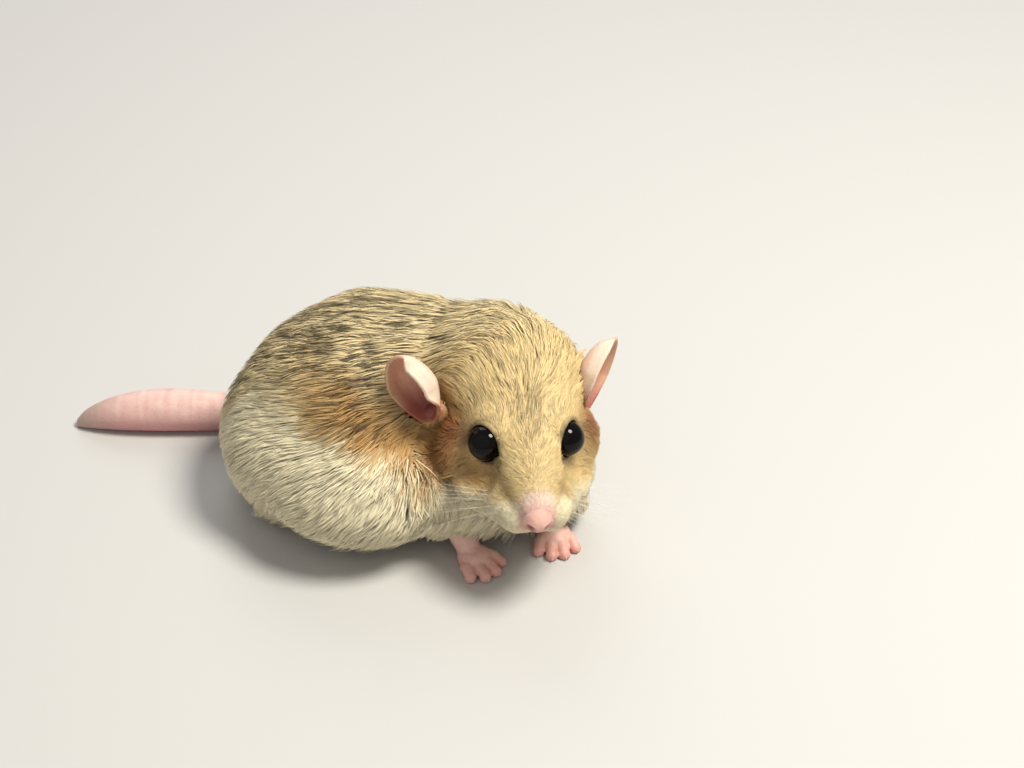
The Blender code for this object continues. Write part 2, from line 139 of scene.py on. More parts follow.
FORE_SOLE = (((-0.4, 0.0, 1.8), 1.8), ((1.2, 0.0, 1.9), 2.2), ((3.0, 0.0, 1.7), 2.1))
FORE_ANKLE = (((1.6, 0.0, 2.0), 2.1), ((-0.2, 0.0, 4.0), 2.5), ((-1.8, 0.0, 6.4), 2.9))
HIND_PALM = ((12.0, 0.0, 1.3), (3.6, 3.0, 2.0))
HIND_SOLE = (
    ((0.4, 0.0, 1.9), 1.7),
    ((2.4, 0.0, 2.2), 2.2),
    ((8.0, 0.0, 1.8), 2.2),
    ((12.0, 0.0, 1.6), 2.2),
)
HIND_ANKLE = (((2.2, 0.0, 2.2), 2.0), ((1.6, 0.0, 4.2), 2.1), ((2.4, 0.0, 6.2), 2.2))
FOREFOOT = (FORE_PALM, FORE_SOLE, FORE_ANKLE, FORE_TOES, FORE_SPREAD, FORE_PLUMP)
HINDFOOT = (HIND_PALM, HIND_SOLE, HIND_ANKLE, HIND_TOES, HIND_SPREAD, HIND_PLUMP)
FOREFEET = {"left": ((7.4, -44.2, 0.0), -82.0), "right": ((-8.7, -50.9, 0.0), -52.0)}
HINDFEET = {"left": ((-39.5, -10.0, 0.0), -14.0), "right": ((-43.0, -35.0, 0.0), -24.0)}
TAIL_Y = -13.4
TAIL_RINGS = (
    (-44.0, 2.9),
    (-49.0, 3.4),
    (-55.8, 3.7),
    (-62.0, 4.1),
    (-68.3, 4.3),
    (-75.6, 3.9),
    (-81.0, 3.0),
    (-84.8, 1.9),
    (-86.6, 0.8),
)

# Skin
SPINE_HEIGHT = 12.0
EAR_WALL = 0.62 * MM
TAIL_LOOPS = 88
TRUNK_VOXEL = 0.8 * MM
SKIN_VOXEL = 0.5 * MM
PAW_VOXEL = 0.2 * MM
ON_SURFACE = 0.12 * MM
FACE_START = -3.0
MUZZLE_START = 10.2

# Coat
SEED = 7
BODY_COVER = 14.0
FACE_COVER = 9.0
BODY_COAT_DEPTH = 2.2
HEAD_COAT_X = (-20.0, -10.0, -3.0, 4.0, 9.0, 12.5, 15.0)
HEAD_COAT_DEPTH = (2.0, 1.35, 0.9, 0.62, 0.45, 0.28, 0.15)
BODY_LENGTH_BY_DEPTH = 3.3
HEAD_LENGTH_BY_DEPTH = 4.2
CLUMP_TUFTS = 9
CLUMP_STRETCH = 0.42
SPINE_LENGTH = 58.0
FAR_OFF = 200.0
TICK_TUFTS = 6
TICK_SHARE = 0.5
NORMAL_SOFTNESS = 0.65
TUFT_SHARES = (0.0, 0.34, 0.7, 1.0)
LOWEST_HAIR = 0.1
PATCH_SIZE = 0.0015
TRIANGLES_A_PIECE = 184000


def frame_at(at, heading, pitch=0.0, roll=0.0):
    """A place in mm with x ahead, y left and z up, turned by a heading, a downward pitch and a roll."""
    return (
        Matrix.Translation(Vector(at) * MM)
        @ Matrix.Rotation(math.radians(heading), 4, "Z")
        @ Matrix.Rotation(math.radians(pitch), 4, "Y")
        @ Matrix.Rotation(math.radians(roll), 4, "X")
    )


HEAD = frame_at(HEAD_AT, HEAD_HEADING, HEAD_PITCH, HEAD_ROLL)


def on_head(x, y, z):
    return HEAD @ Matrix.Translation(Vector((x, y, z)) * MM)


def eye_frame(sign):
    """Local x out of the eye; the left eye's sign is 1, the right one's -1."""
    x, y, z = EYE_AT
    return on_head(x, y * sign, z) @ frame_at((0, 0, 0), EYE_OUTWARD * sign, -EYE_UPWARD)


EYE_PLACES = {sign: np.array(eye_frame(sign).translation) / MM for _, sign in SIDES}


def ear_frame(side):
    """Local x out of the ear's cup, z up along the ear."""
    root, up, out = (Vector(item) for item in EARS[side])
    up.normalize()
    out = (out - up * out.dot(up)).normalized()
    return on_head(*root) @ Matrix((out, up.cross(out), up)).transposed().to_4x4()


EAR_PLACES = {side: np.array(ear_frame(side).translation) / MM for side in EARS}


def part_shift():
    """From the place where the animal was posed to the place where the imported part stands."""
    low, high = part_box("eye_left")
    return (low + high) / 2 - eye_frame(1).translation


SHIFT = part_shift()


def holder_of(name, data):
    """A new object in the scene for this mesh, lamp or camera."""
    obj = bpy.data.objects.new(name, data)
    bpy.context.scene.collection.objects.link(obj)
    return obj


def object_of(name, bm):
    bmesh.ops.recalc_face_normals(bm, faces=bm.faces)
    mesh = bpy.data.meshes.new(name)
    bm.to_mesh(mesh)
    bm.free()
    return holder_of(name, mesh)


def in_order(obj):
    """The same faces, sorted, because spinning leaves them in another order each run."""
    faces = sorted(tuple(face.vertices) for face in obj.data.polygons)
    mesh = bpy.data.meshes.new(obj.name)
    mesh.from_pydata([vert.co for vert in obj.data.vertices], [], faces)
    obj.data = mesh
    return obj


def discard(obj):
    bpy.data.objects.remove(obj)


def applied(obj):
    """Turn an object's modifiers into its mesh."""
    bpy.context.view_layer.update()
    graph = bpy.context.evaluated_depsgraph_get()
    mesh = bpy.data.meshes.new_from_object(obj.evaluated_get(graph))
    obj.modifiers.clear()
    obj.data = mesh
    return obj


def smoothed(obj, rounds):
    smooth = obj.modifiers.new("smooth", "SMOOTH")
    smooth.factor = 0.5
    smooth.iterations = rounds
    return applied(obj)


def melted(name, pieces, voxel, smoothing):
    """Overlapping closed shapes melted into one smooth skin."""
    bm = bmesh.new()
    for piece in pieces:
        bm.from_mesh(piece.data)
        discard(piece)
    whole = object_of(name, bm)
    melt = whole.modifiers.new("melt", "REMESH")
    melt.mode = "VOXEL"
    melt.voxel_size = voxel
    return smoothed(applied(whole), smoothing)


def combine(obj, tool, operation="UNION"):
    change = obj.modifiers.new("join", "BOOLEAN")
    change.operation = operation
    change.solver = "MANIFOLD"
    change.object = tool
    applied(obj)
    discard(tool)
    return obj


def loft(name, rings, segments=40):
    """A closed tube through oval rings, each a frame with its half width, height and depth."""
    bm = bmesh.new()
    loops = []
    for at, half_width, above, below in rings:
        made = bmesh.ops.create_circle(bm, segments=segments, radius=1.0)["verts"]
        for vert in made:
            across, up = vert.co.x, vert.co.y
            tall = above if up > 0 else below
            vert.co = at @ Vector((0.0, across * half_width * MM, up * tall * MM))
        edges = {edge for vert in made for edge in vert.link_edges}
        loops.append(list(edges))
    for near, far in zip(loops, loops[1:]):
        bmesh.ops.bridge_loops(bm, edges=near + far)
    for end in (loops[0], loops[-1]):
        bmesh.ops.contextual_create(bm, geom=end)
    return object_of(name, bm)


def limb(name, points, at, segments):
    """A round tube through places in mm, each with its radius."""
    places = [Vector(place) for place, radius in points]
    rings = []
    for index, (place, radius) in enumerate(points):
        way = places[min(index + 1, len(places) - 1)] - places[max(index - 1, 0)]
        turn = way.to_track_quat("X", "Z").to_matrix().to_4x4()
        rings.append((at @ Matrix.Translation(Vector(place) * MM) @ turn, radius, radius, radius))
    return loft(name, rings, segments)


def ellipsoid(name, at, radii, detail=4):
    bm = bmesh.new()
    shape = at @ Matrix.Diagonal((*(Vector(radii) * MM), 1.0))
    bmesh.ops.create_icosphere(bm, subdivisions=detail, radius=1.0, matrix=shape)
    return object_of(name, bm)


def places_of(obj):
    """An object's vertices, in mm, as the animal was posed."""
    flat = np.empty(len(obj.data.vertices) * 3)
    obj.data.vertices.foreach_get("co", flat)
    return flat.reshape(-1, 3) / MM


def set_places(obj, places):
    obj.data.vertices.foreach_set("co", (places * MM).ravel())
    obj.data.update()


def normals_of(obj):
    flat = np.empty(len(obj.data.vertices) * 3)
    obj.data.vertices.foreach_get("normal", flat)
    return flat.reshape(-1, 3)


# Measures over the body, in mm
def step(low, high, value):
    """A smooth rise from 0 at low to 1 at high."""
    ratio = np.clip((value - low) / (high - low), 0.0, 1.0)
    return ratio * ratio * (3.0 - 2.0 * ratio)


def mix(first, second, share):
    share = np.asarray(share)
    if np.ndim(first) > np.ndim(share) or np.ndim(second) > np.ndim(share):
        share = share[..., None]
    return first * (1.0 - share) + second * share


def lengths(ways):
    return np.linalg.norm(ways, axis=1)


def layered(colour, *layers):
    """A colour with others mixed over it in turn, each by its own share."""
    for over, share in layers:
        colour = mix(colour, over, share)
    return colour


def unit(ways):
    return ways / np.maximum(np.linalg.norm(ways, axis=-1, keepdims=True), 1e-9)


def places_in(at, places):
    """The same places in another frame, in mm."""
    inward = np.array(at.inverted())
    return places @ inward[:3, :3].T + inward[:3, 3] / MM


def head_places(places):
    """The same places in the head's own frame."""
    return places_in(HEAD, places)


def head_way(x, y, z):
    return np.array(HEAD.to_3x3() @ Vector((x, y, z)))


SPINE_STEPS = np.linspace(-0.1, 1.1, 121)
BLOCK = 20000


def spine_points():
    start, middle, end = (np.array(point) for point in (RUMP, BACK, CHEST))
    along = SPINE_STEPS[:, None]
    points = start * (1 - along) ** 2 + middle * 2 * along * (1 - along) + end * along**2
    ways = (middle - start) * (1 - along) + (end - middle) * along
    return points, unit(ways)


SPINE, SPINE_WAYS = spine_points()


def trunk_places(places):
    """Way along the spine, degrees down from its ridge, left positive, and the spine's heading."""
    nearest = np.empty(len(places), int)
    for start in range(0, len(places), BLOCK):
        block = places[start:start + BLOCK, None, :2] - SPINE[None]
        nearest[start:start + BLOCK] = np.argmin((block**2).sum(2), axis=1)
    along = SPINE_STEPS[nearest]
    ways = SPINE_WAYS[nearest]
    out = places[:, :2] - SPINE[nearest]
    aside = out[:, 1] * ways[:, 0] - out[:, 0] * ways[:, 1]
    down = np.degrees(np.arctan2(aside, places[:, 2] - SPINE_HEIGHT))
    return along, down, ways


def headness(local):
    """1 on the head, 0 on the trunk."""
    forward = step(-22.0, -12.0, local[:, 0])
    beside = 1.0 - step(15.0, 18.5, np.abs(local[:, 1]))
    above = step(-17.0, -13.0, local[:, 2])
    return forward * beside * above


def ripple(places, size, seed):
    """A smooth random wave over space, from about -1 to 1."""
    draw = np.random.default_rng(seed)
    total = np.zeros(len(places))
    for _ in range(7):
        way = unit(draw.normal(size=3)) * draw.uniform(0.7, 1.5) * 2 * math.pi / size
        total += np.sin(places @ way + draw.uniform(0, 2 * math.pi))
    return total / 2.6


def nose_reach(local):
    """1 on the surface of the nose's bare pad, more away from it."""
    place, radii = NOSE
    return lengths((local - np.array(place)) / (np.array(radii) * 1.02))


def mouth_distance(local, sign):
    return line_distance(local, [(x, y * sign, z) for x, y, z in MOUTH])


def nostril_reach(local, sign, radii):
    """0 at a nostril's middle, 1 on an oval of these radii."""
    x, y, z = NOSTRIL
    return lengths((local - np.array((x, y * sign, z))) / np.array(radii))


def eye_gap(places, sign):
    """How far outside the lids' edge each place is, in mm: 9 where it is far from the eye."""
    local = places_in(eye_frame(sign), places)
    gap = np.full(len(places), 9.0)
    ring = np.hypot(local[:, 1], local[:, 2])
    close = (lengths(local) < 7.0) & (local[:, 0] > -1.0)
    for index in np.nonzero(close)[0]:
        reach = max(ring[index], 1e-6)
        _, y, z = local[index] / reach
        gap[index] = ring[index] - eye_opening(-sign * y, z)
    return gap


def coat_depth(places):
    """How far the skin lies inside the tips of the coat, in mm."""
    local = head_places(places)
    head = np.interp(local[:, 0], HEAD_COAT_X, HEAD_COAT_DEPTH)
    head *= step(0.9, 1.7, nose_reach(local))
    depth = mix(BODY_COAT_DEPTH, head, headness(local))
    low = 1.0 - step(1.0, 9.0, places[:, 2])
    depth = mix(depth, np.minimum(depth, 1.2), low * 0.8)
    for side, sign in SIDES:
        (x, y, _), _ = FOREFEET[side]
        near = 1.0 - step(4.0, 9.0, lengths(places - np.array((x, y, 5.0))))
        depth = mix(depth, np.minimum(depth, 0.7), near)
        near = 1.0 - step(4.0, 7.5, lengths(places - EYE_PLACES[sign]))
        depth = mix(depth, np.minimum(depth, 0.26), near)
    return depth


# Markings
def linear(red, green, blue):
    """A colour as seen on a screen, from 0 to 255, as light."""
    return np.array([((value / 255 + 0.055) / 1.055) ** 2.4 for value in (red, green, blue)])


PALE_BUFF = linear(236, 212, 158)
BUFF = linear(212, 180, 120)
BACK_BUFF = linear(214, 194, 148)
ORANGE = linear(190, 142, 78)
BROWN = linear(140, 96, 52)
DARK = linear(74, 62, 44)
OLIVE = linear(122, 106, 68)
CREAM = linear(236, 224, 188)
GREY_ROOT_SHADE = linear(120, 110, 92)
LID = linear(52, 36, 28)
PINK = linear(226, 164, 150)
PALE_PINK = linear(240, 214, 200)
DEEP_PINK = linear(176, 92, 84)
NOSE_PINK = linear(230, 182, 168)
NOSTRIL_RED = linear(122, 48, 42)
EAR_PINK = linear(216, 164, 138)
EAR_SHADE_DEEP = linear(168, 92, 74)
EAR_PALE_LIT = linear(236, 214, 192)
EAR_BACK = linear(234, 204, 184)
EAR_EDGE = linear(208, 170, 138)
RUSSET = linear(148, 86, 50)
TAIL_PINK = linear(214, 164, 158)
TAIL_GREY = linear(176, 156, 142)
TAIL_SHADE_PINK = linear(190, 112, 122)

WHITE_EDGE_ALONG = (-0.1, 0.1, 0.17, 0.31, 0.38, 0.44, 0.52, 0.58, 0.64, 0.71, 0.8, 1.1)
WHITE_EDGE_DOWN = (62, 50, 41, 36, 43, 50, 57, 63, 69, 77, 84, 90)
CHEEK_EDGE_X = (-14.0, -1.0, 4.0, 7.0, 8.5, 12.0, 14.0)
CHEEK_EDGE_Z = (-11.5, -9.8, -8.0, -6.2, -5.2, -3.4, -2.8)


# Colour, strength, whether it is weaker on the lit left side (painted shade on the right side), middle
# and radii of patches on the head
HEAD_PATCHES = (
    (ORANGE, 0.75, True, (2.5, 9.0, -5.2), (7.0, 4.5, 3.4)),
    (BROWN, 0.95, True, (-3.4, 14.0, -6.4), (5.2, 6.0, 4.8)),
    (BROWN, 0.75, True, (4.8, 7.2, -2.6), (4.4, 3.4, 2.8)),
    (LID, 0.75, True, (-2.5, 10.0, -0.8), (1.1, 1.2, 2.4)),
    (LID, 0.6, False, (3.8, 6.3, -1.4), (1.8, 1.6, 1.4)),
    # Partly a dark mask from the eye to the nose, partly painted shade on the muzzle's side.
    (BROWN, 0.5, False, (9.5, 4.0, -2.6), (4.0, 2.0, 2.0)),
    (RUSSET, 0.9, False, (-5.0, 12.5, -0.6), (4.4, 3.6, 4.0)),
)
CROWN = ((-13.5, -1.8, 12.0), (6.5, 3.0, 5.0))
NOSE_BRIDGE = ((1.0, 0.0, 5.0), (10.0, 3.2, 6.0))


def blob(local, centre, radii):
    """1 at a centre, fading to 0 outside an oval of these radii."""
    reach = (((local - np.array(centre)) / np.array(radii)) ** 2).sum(1)
    return np.exp(-reach * 1.6)


def markings(places, stray=0.0):
    """Coat colour and how strongly it is ticked with dark; hairs stray over the white's edge."""
    local = head_places(places)
    along, down, _ = trunk_places(places)
    side = np.abs(down)
    ragged = ripple(places, 9.0, 3) * 3.0 + ripple(places, 3.5, 4) * 2.2
    edge = np.interp(along, WHITE_EDGE_ALONG, WHITE_EDGE_DOWN) + ragged
    below = side - edge + stray
    body = np.tile(BACK_BUFF, (len(places), 1))
    patch = np.exp(-(((along - 0.35) / 0.05) ** 2 + ((side - 40.0) / 6.0) ** 2))
    warm = np.exp(-((below + 14.0) / 15.0) ** 2) * step(0.3, 0.56, along)
    white = step(-3.5, 5.0, below) * (1.0 - 0.6 * patch)
    body = layered(body, (ORANGE, 0.9 * warm), (PALE_BUFF, patch), (CREAM, white))
    body_tick = (1.0 - step(-22.0, -3.0, below)) * (1.0 - patch)
    body_tick *= 1.0 - 0.5 * step(0.5, 0.85, along)

    mirrored = local * np.array((1.0, 0.0, 1.0)) + np.abs(local) * np.array((0.0, 1.0, 0.0))
    head = np.tile(mix(PALE_BUFF, BUFF, 0.4), (len(places), 1))
    x, z, aside = local[:, 0], local[:, 2], np.abs(local[:, 1])
    flank = step(7.5, 12.5, aside) * step(4.0, -6.0, x) * step(6.0, 1.0, z)
    # Painted shade: the orange flank and the sided patches are a third as strong on the lit left side as
    # on the shaded right.
    shaded_side = mix(0.35, 1.0, step(3.0, -3.0, local[:, 1]))
    head = mix(head, ORANGE, 0.75 * flank * shaded_side)
    for colour, share, shade_sided, centre, radii in HEAD_PATCHES:
        head = mix(head, colour, share * (shaded_side if shade_sided else 1.0) * blob(mirrored, centre, radii))
    cheek = np.interp(x, CHEEK_EDGE_X, CHEEK_EDGE_Z) + ragged * 0.12
    muzzle = step(11.2, 13.4, x) * step(3.4, 1.6, aside) * step(-8.0, -5.0, z)
    nose = 1.0 - step(1.0, 1.9, nose_reach(local))
    white = step(1.7, -2.0, z - cheek)
    head = layered(head, (CREAM, white), (PALE_PINK, 0.9 * muzzle), (NOSE_PINK, 0.95 * nose))
    head_tick = 0.45 * step(0.0, 5.0, z) * step(10.0, 4.0, x)
    head_tick += 1.1 * blob(local, *CROWN) + 0.8 * blob(local, *NOSE_BRIDGE)
    for sign in (1, -1):
        head = mix(head, LID, 0.9 * (1.0 - step(0.0, 0.55, eye_gap(places, sign))))
    share = headness(local)
    return mix(body, head, share), mix(body_tick, head_tick, share)


# Skin
def build_flesh():
    """Trunk and head as one smooth form out to the tips of the coat, as in the solids."""
    rings = []
    start, middle, end = (Vector(point) for point in (RUMP, BACK, CHEST))
    for along, half_width, widest, top, underside in TRUNK_RINGS:
        place = start * (1 - along) ** 2 + middle * 2 * along * (1 - along) + end * along**2
        way = (middle - start) * (1 - along) + (end - middle) * along
        at = frame_at((place.x, place.y, widest), math.degrees(math.atan2(way.y, way.x)))
        rings.append((at, half_width, top - widest, widest - underside))
    pieces = [loft("trunk", rings)]
    for at, heading, radii in MASSES:
        pieces.append(ellipsoid("mass", frame_at(at, heading), radii))
    trunk = melted("trunk", pieces, TRUNK_VOXEL, 30)
    rings = [(on_head(x, 0, z), wide, above, below) for x, wide, above, below, z in HEAD_RINGS]
    pieces = [trunk, loft("skull", rings), ellipsoid("nose", on_head(*NOSE[0]), NOSE[1])]
    for (x, y, z), radii in CHEEKS:
        for sign in (1, -1):
            pieces.append(ellipsoid("cheek", on_head(x, y * sign, z), radii))
    return melted("skin", pieces, SKIN_VOXEL, 12)


def opened(obj):
    bm = bmesh.new()
    bm.from_mesh(obj.data)
    return bm


def closed(bm, obj):
    bm.to_mesh(obj.data)
    bm.free()


def even_out(bm, verts, rounds, factor=0.5):
    axes = {"use_axis_" + axis: True for axis in "xyz"}
    for _ in range(rounds):
        bmesh.ops.smooth_vert(bm, verts=verts, factor=factor, **axes)


def refine(obj, chosen):
    """Halve the edges between the chosen vertices, then soften them."""
    bm = opened(obj)
    marks = [vert for vert, wanted in zip(bm.verts, chosen) if wanted]
    inside = set(marks)
    edges = [edge for edge in bm.edges if edge.verts[0] in inside and edge.verts[1] in inside]
    made = bmesh.ops.subdivide_edges(bm, edges=edges, cuts=1, use_grid_fill=True)
    soft = inside | {item for item in made["geom_inner"] if isinstance(item, bmesh.types.BMVert)}
    even_out(bm, [vert for vert in soft if vert.is_valid], 2)
    closed(bm, obj)


def soften(obj, chosen, rounds):
    """Smooth the chosen vertices."""
    bm = opened(obj)
    even_out(bm, [vert for vert, wanted in zip(bm.verts, chosen) if wanted], rounds)
    closed(bm, obj)


def line_distance(places, points):
    """Shortest way from each place to a line through points."""
    least = np.full(len(places), 1e9)
    for first, second in zip(points, points[1:]):
        first, second = np.array(first), np.array(second)
        way = second - first
        share = np.clip((places - first) @ way / (way @ way), 0.0, 1.0)
        least = np.minimum(least, lengths(places - first - share[:, None] * way))
    return least


def carve_face(skin):
    """Nostrils, philtrum and the line of the mouth with its lips."""
    places, normals = places_of(skin), normals_of(skin)
    local = head_places(places)
    sink = np.zeros(len(places))
    for sign in (1, -1):
        reach = nostril_reach(local, sign, (1.2, 0.62, 0.45))
        sink += 0.75 * np.exp(-reach**2 * 1.3) - 0.12 * np.exp(-((reach - 1.7) / 0.5) ** 2)
        away = mouth_distance(local, sign)
        sink += 0.55 * np.exp(-(away / 0.34) ** 2) - 0.16 * np.exp(-((away - 0.8) / 0.42) ** 2)
    away = line_distance(local, PHILTRUM)
    sink += 0.4 * np.exp(-(away / 0.26) ** 2)
    set_places(skin, places - normals * sink[:, None])


def carve_orbit(skin, sign):
    """Bring the flesh round an eye down to the edge of its lids, deepest towards the nose."""
    places = places_of(skin)
    at = eye_frame(sign)
    local = places_in(at, places)
    ring = np.hypot(local[:, 1], local[:, 2])
    ceiling = ORBIT_RISE + ORBIT_SLOPE * (ring - EYE_OPEN)
    ceiling += 0.12 * np.maximum(0.0, ring - 4.6) ** 2
    above = np.logaddexp(0.0, (local[:, 0] - ceiling) * 3.5) / 3.5
    above *= step(-2.0, -0.5, local[:, 0])
    outward = np.array(at.to_3x3() @ Vector((1.0, 0.0, 0.0)))
    set_places(skin, places - outward * above[:, None])


def eye_opening(front, up):
    """How far the lids' edge is from the eye's axis, in mm, towards this front and up."""
    turn = math.degrees(math.atan2(up, front))
    corner = EYE_CORNER * math.exp(-(((turn + 10.0) / 18.0) ** 2))
    return EYE_OPEN + corner - EYE_CORNER * max(0.0, -up)


def eyelids(sign):
    """A band over the eye whose inner edge is the opening, drawn to a point at the front corner."""
    bm = bmesh.new()
    turn = Matrix.Translation((0.0, 0.0, 3.0)) @ Matrix.Rotation(math.radians(90.0), 4, "X")
    bmesh.ops.create_circle(bm, segments=16, radius=1.0, matrix=turn)
    geom = bm.verts[:] + bm.edges[:]
    around = {"cent": (0, 0, 0), "axis": (1, 0, 0), "angle": math.tau}
    bmesh.ops.spin(bm, geom=geom, steps=72, use_merge=True, **around)
    bmesh.ops.remove_doubles(bm, verts=bm.verts, dist=1e-4)
    for vert in bm.verts:
        x, y, z = vert.co
        ring = math.hypot(y, z)
        edge = math.asin(eye_opening(-sign * y / ring, z / ring) / EYE_RADIUS)
        away = edge + 0.5 * (1.0 - x) * (math.radians(118.0) - edge)
        reach = EYE_RADIUS + LID_WALL / 2 + 0.06 + (ring - 3.0) * LID_WALL / 2
        place = (math.cos(away), math.sin(away) * y / ring, math.sin(away) * z / ring)
        vert.co = Vector(place) * reach * MM
    bmesh.ops.transform(bm, matrix=eye_frame(sign), verts=bm.verts)
    return object_of("lid", bm)


def eye_window(sign):
    """The flared space in front of the lids' edge."""
    bm = bmesh.new()
    bmesh.ops.create_cone(bm, cap_ends=True, segments=72, radius1=1.0, radius2=0.5, depth=1.0)
    bmesh.ops.rotate(bm, verts=bm.verts, matrix=Matrix.Rotation(math.radians(-90.0), 3, "Y"))
    for vert in bm.verts:
        _, y, z = vert.co
        ring = math.hypot(y, z)
        wide = eye_opening(-sign * y / ring, z / ring) + 0.05
        near = ring < 0.75
        high = math.sqrt(max(EYE_RADIUS**2 - min(wide, EYE_RADIUS) ** 2, 0.0))
        scale = 0.9 if near else 2.4
        ahead = high * scale + (0.0 if near else 1.0)
        vert.co = Vector((ahead, y / ring * wide * scale, z / ring * wide * scale)) * MM
    bmesh.ops.transform(bm, matrix=eye_frame(sign), verts=bm.verts)
    return object_of("window", bm)


def ear(side):
    """A thin open cup with a rolled rim on a solid root."""
    bm = bmesh.new()
    bmesh.ops.create_icosphere(bm, subdivisions=5, radius=1.0)
    geom = bm.verts[:] + bm.edges[:] + bm.faces[:]
    bmesh.ops.bisect_plane(bm, geom=geom, plane_co=(0.12, 0, 0), plane_no=(1, 0, 0), clear_outer=True)
    for vert in bm.verts:
        x, y, z = vert.co
        wide = EAR_HALF_WIDTH * (1.0 - 0.3 * max(0.0, -z)) * (1.0 - 0.10 * max(0.0, z))
        rim = max(0.0, 1.0 + x / 0.35)
        roll = 1.0 + 0.06 * rim * rim
        front = -y if side == "left" else y
        curl = float(step(-0.75, 0.12, x) * step(0.2, 0.8, front) * step(-0.7, -0.1, z))
        curl *= EAR_CURL[side]
        fold = 0.28 * math.exp(-(((y + 0.35) / 0.22) ** 2)) * math.exp(-(((z + 0.25) / 0.4) ** 2))
        aside = y * wide * roll - math.copysign(2.0 * curl * curl, y)
        high = z * EAR_HALF_HEIGHT * roll + EAR_LIFT
        vert.co = Vector((x * EAR_DEPTH + fold + 1.3 * curl, aside, high)) * MM
    cup = object_of("cup", bm)
    wall = cup.modifiers.new("wall", "SOLIDIFY")
    wall.thickness = EAR_WALL
    wall.offset = -1.0
    applied(cup)
    plug = ellipsoid("plug", frame_at((-2.1, 0.0, -0.9), 0.0), (1.9, 2.7, 2.1), 4)
    whole = smoothed(combine(cup, plug), 2)
    whole.data.transform(ear_frame(side))
    return whole


def paw(at, heading, palm, sole, ankle, toes, spread, plump):
    """A bare foot with its toes side by side on the floor, and its claws as a piece of their own."""
    base = frame_at(at, heading)
    place, radii = palm
    pieces = [ellipsoid("palm", base @ Matrix.Translation(Vector(place) * MM), radii, 4)]
    pieces += [limb("sole", sole, base, 24), limb("ankle", ankle, base, 24)]
    claws = bmesh.new()
    front = place[0] + radii[0]
    middle = (len(toes) - 1) / 2
    for number, (length, angle) in enumerate(toes):
        aside = middle - number
        root = Vector((front - 1.6 - abs(aside) * 0.6, aside * spread, 0.0))
        way = Vector((math.cos(math.radians(angle)), math.sin(math.radians(angle)), 0.0))
        upward = Vector((0.0, 0.0, 1.0))
        tip = root + way * length
        path = [
            (root + way * length * share + upward * high, radius * plump)
            for share, high, radius in TOE_PATH
        ]
        pieces.append(limb("toe", path, base, 18))
        pad = base @ Matrix.Translation((tip + upward * 0.75) * MM)
        pieces.append(ellipsoid("pad", pad, (TOE_PAD * plump,) * 3, 3))
        path = [
            (tip + way * (ahead * plump) + upward * high, radius)
            for ahead, high, radius in CLAW_PATH
        ]
        claw = limb("claw", path, base, 10)
        claws.from_mesh(claw.data)
        discard(claw)
    foot = melted("foot", pieces, PAW_VOXEL, 3)
    places = places_of(foot)
    places[:, 2] = np.maximum(places[:, 2], 0.0)
    set_places(foot, places)
    return foot, object_of("claws", claws)


def tail_wave(x):
    """The uneven rings along the tail, from about -1 to 1."""
    return np.sin(x * 2.9 + 1.1 * np.sin(x * 0.7)) * (0.65 + 0.35 * np.sin(x * 1.3 + 2.0))


def tail():
    """A plump tail with faint rings, flat where it lies on the floor."""
    ends, radii = zip(*TAIL_RINGS)
    rings = []
    for index in range(TAIL_LOOPS):
        share = index / (TAIL_LOOPS - 1)
        x = ends[0] + (ends[-1] - ends[0]) * (1.0 - (1.0 - share) ** 1.25)
        blur = min(1.6, 0.5 * (x - ends[-1]))
        spread = [x + blur * offset for offset in (-1.0, -0.5, 0.0, 0.5, 1.0)]
        radius = sum(np.interp(place, ends[::-1], radii[::-1]) for place in spread) / len(spread)
        ringed = radius * (1.0 + 0.007 * tail_wave(x))
        rings.append((frame_at((x, TAIL_Y, radius * 0.94), 180.0), ringed, ringed, ringed))
    whole = loft("tail", rings, 40)
    places = places_of(whole)
    places[:, 2] = np.maximum(places[:, 2], 0.0)
    set_places(whole, places)
    return whole


def soften_round_eyes(obj):
    """Smooth the skin round both eyes and keep it clear of the eyeballs."""
    bm = opened(obj)
    near, far = EYE_RADIUS * MM, (EYE_RADIUS + 2.2) * MM
    for sign in (1, -1):
        eye = eye_frame(sign).translation
        ring = [vert for vert in bm.verts if near < (vert.co - eye).length < far]
        even_out(bm, ring, 4, 0.4)
        for vert in ring:
            away = vert.co - eye
            vert.co = eye + away * max(1.0, (EYE_RADIUS + 0.05) * MM / away.length)
    closed(bm, obj)


flesh = build_flesh()
tips = places_of(flesh)
set_places(flesh, tips - normals_of(flesh) * coat_depth(tips)[:, None])
smoothed(flesh, 3)
refine(flesh, head_places(places_of(flesh))[:, 0] > FACE_START)
refine(flesh, head_places(places_of(flesh))[:, 0] > MUZZLE_START)
for sign in (1, -1):
    carve_orbit(flesh, sign)
soften(flesh, head_places(places_of(flesh))[:, 0] > FACE_START, 5)
soften(flesh, nose_reach(head_places(places_of(flesh))) < 2.2, 10)
carve_face(flesh)


claws = {}
bare = {"tail": tail()}
for side, sign in SIDES:
    for name, feet, shape in (("forefoot_", FOREFEET, FOREFOOT), ("hindfoot_", HINDFEET, HINDFOOT)):
        bare[name + side], claws[name + side] = paw(*feet[side], *shape)
    bare["ear_" + side] = ear(side)
lids = [in_order(eyelids(sign)) for _, sign in SIDES]


def tree_of(obj):
    bm = opened(obj)
    tree = BVHTree.FromBMesh(bm)
    bm.free()
    return tree


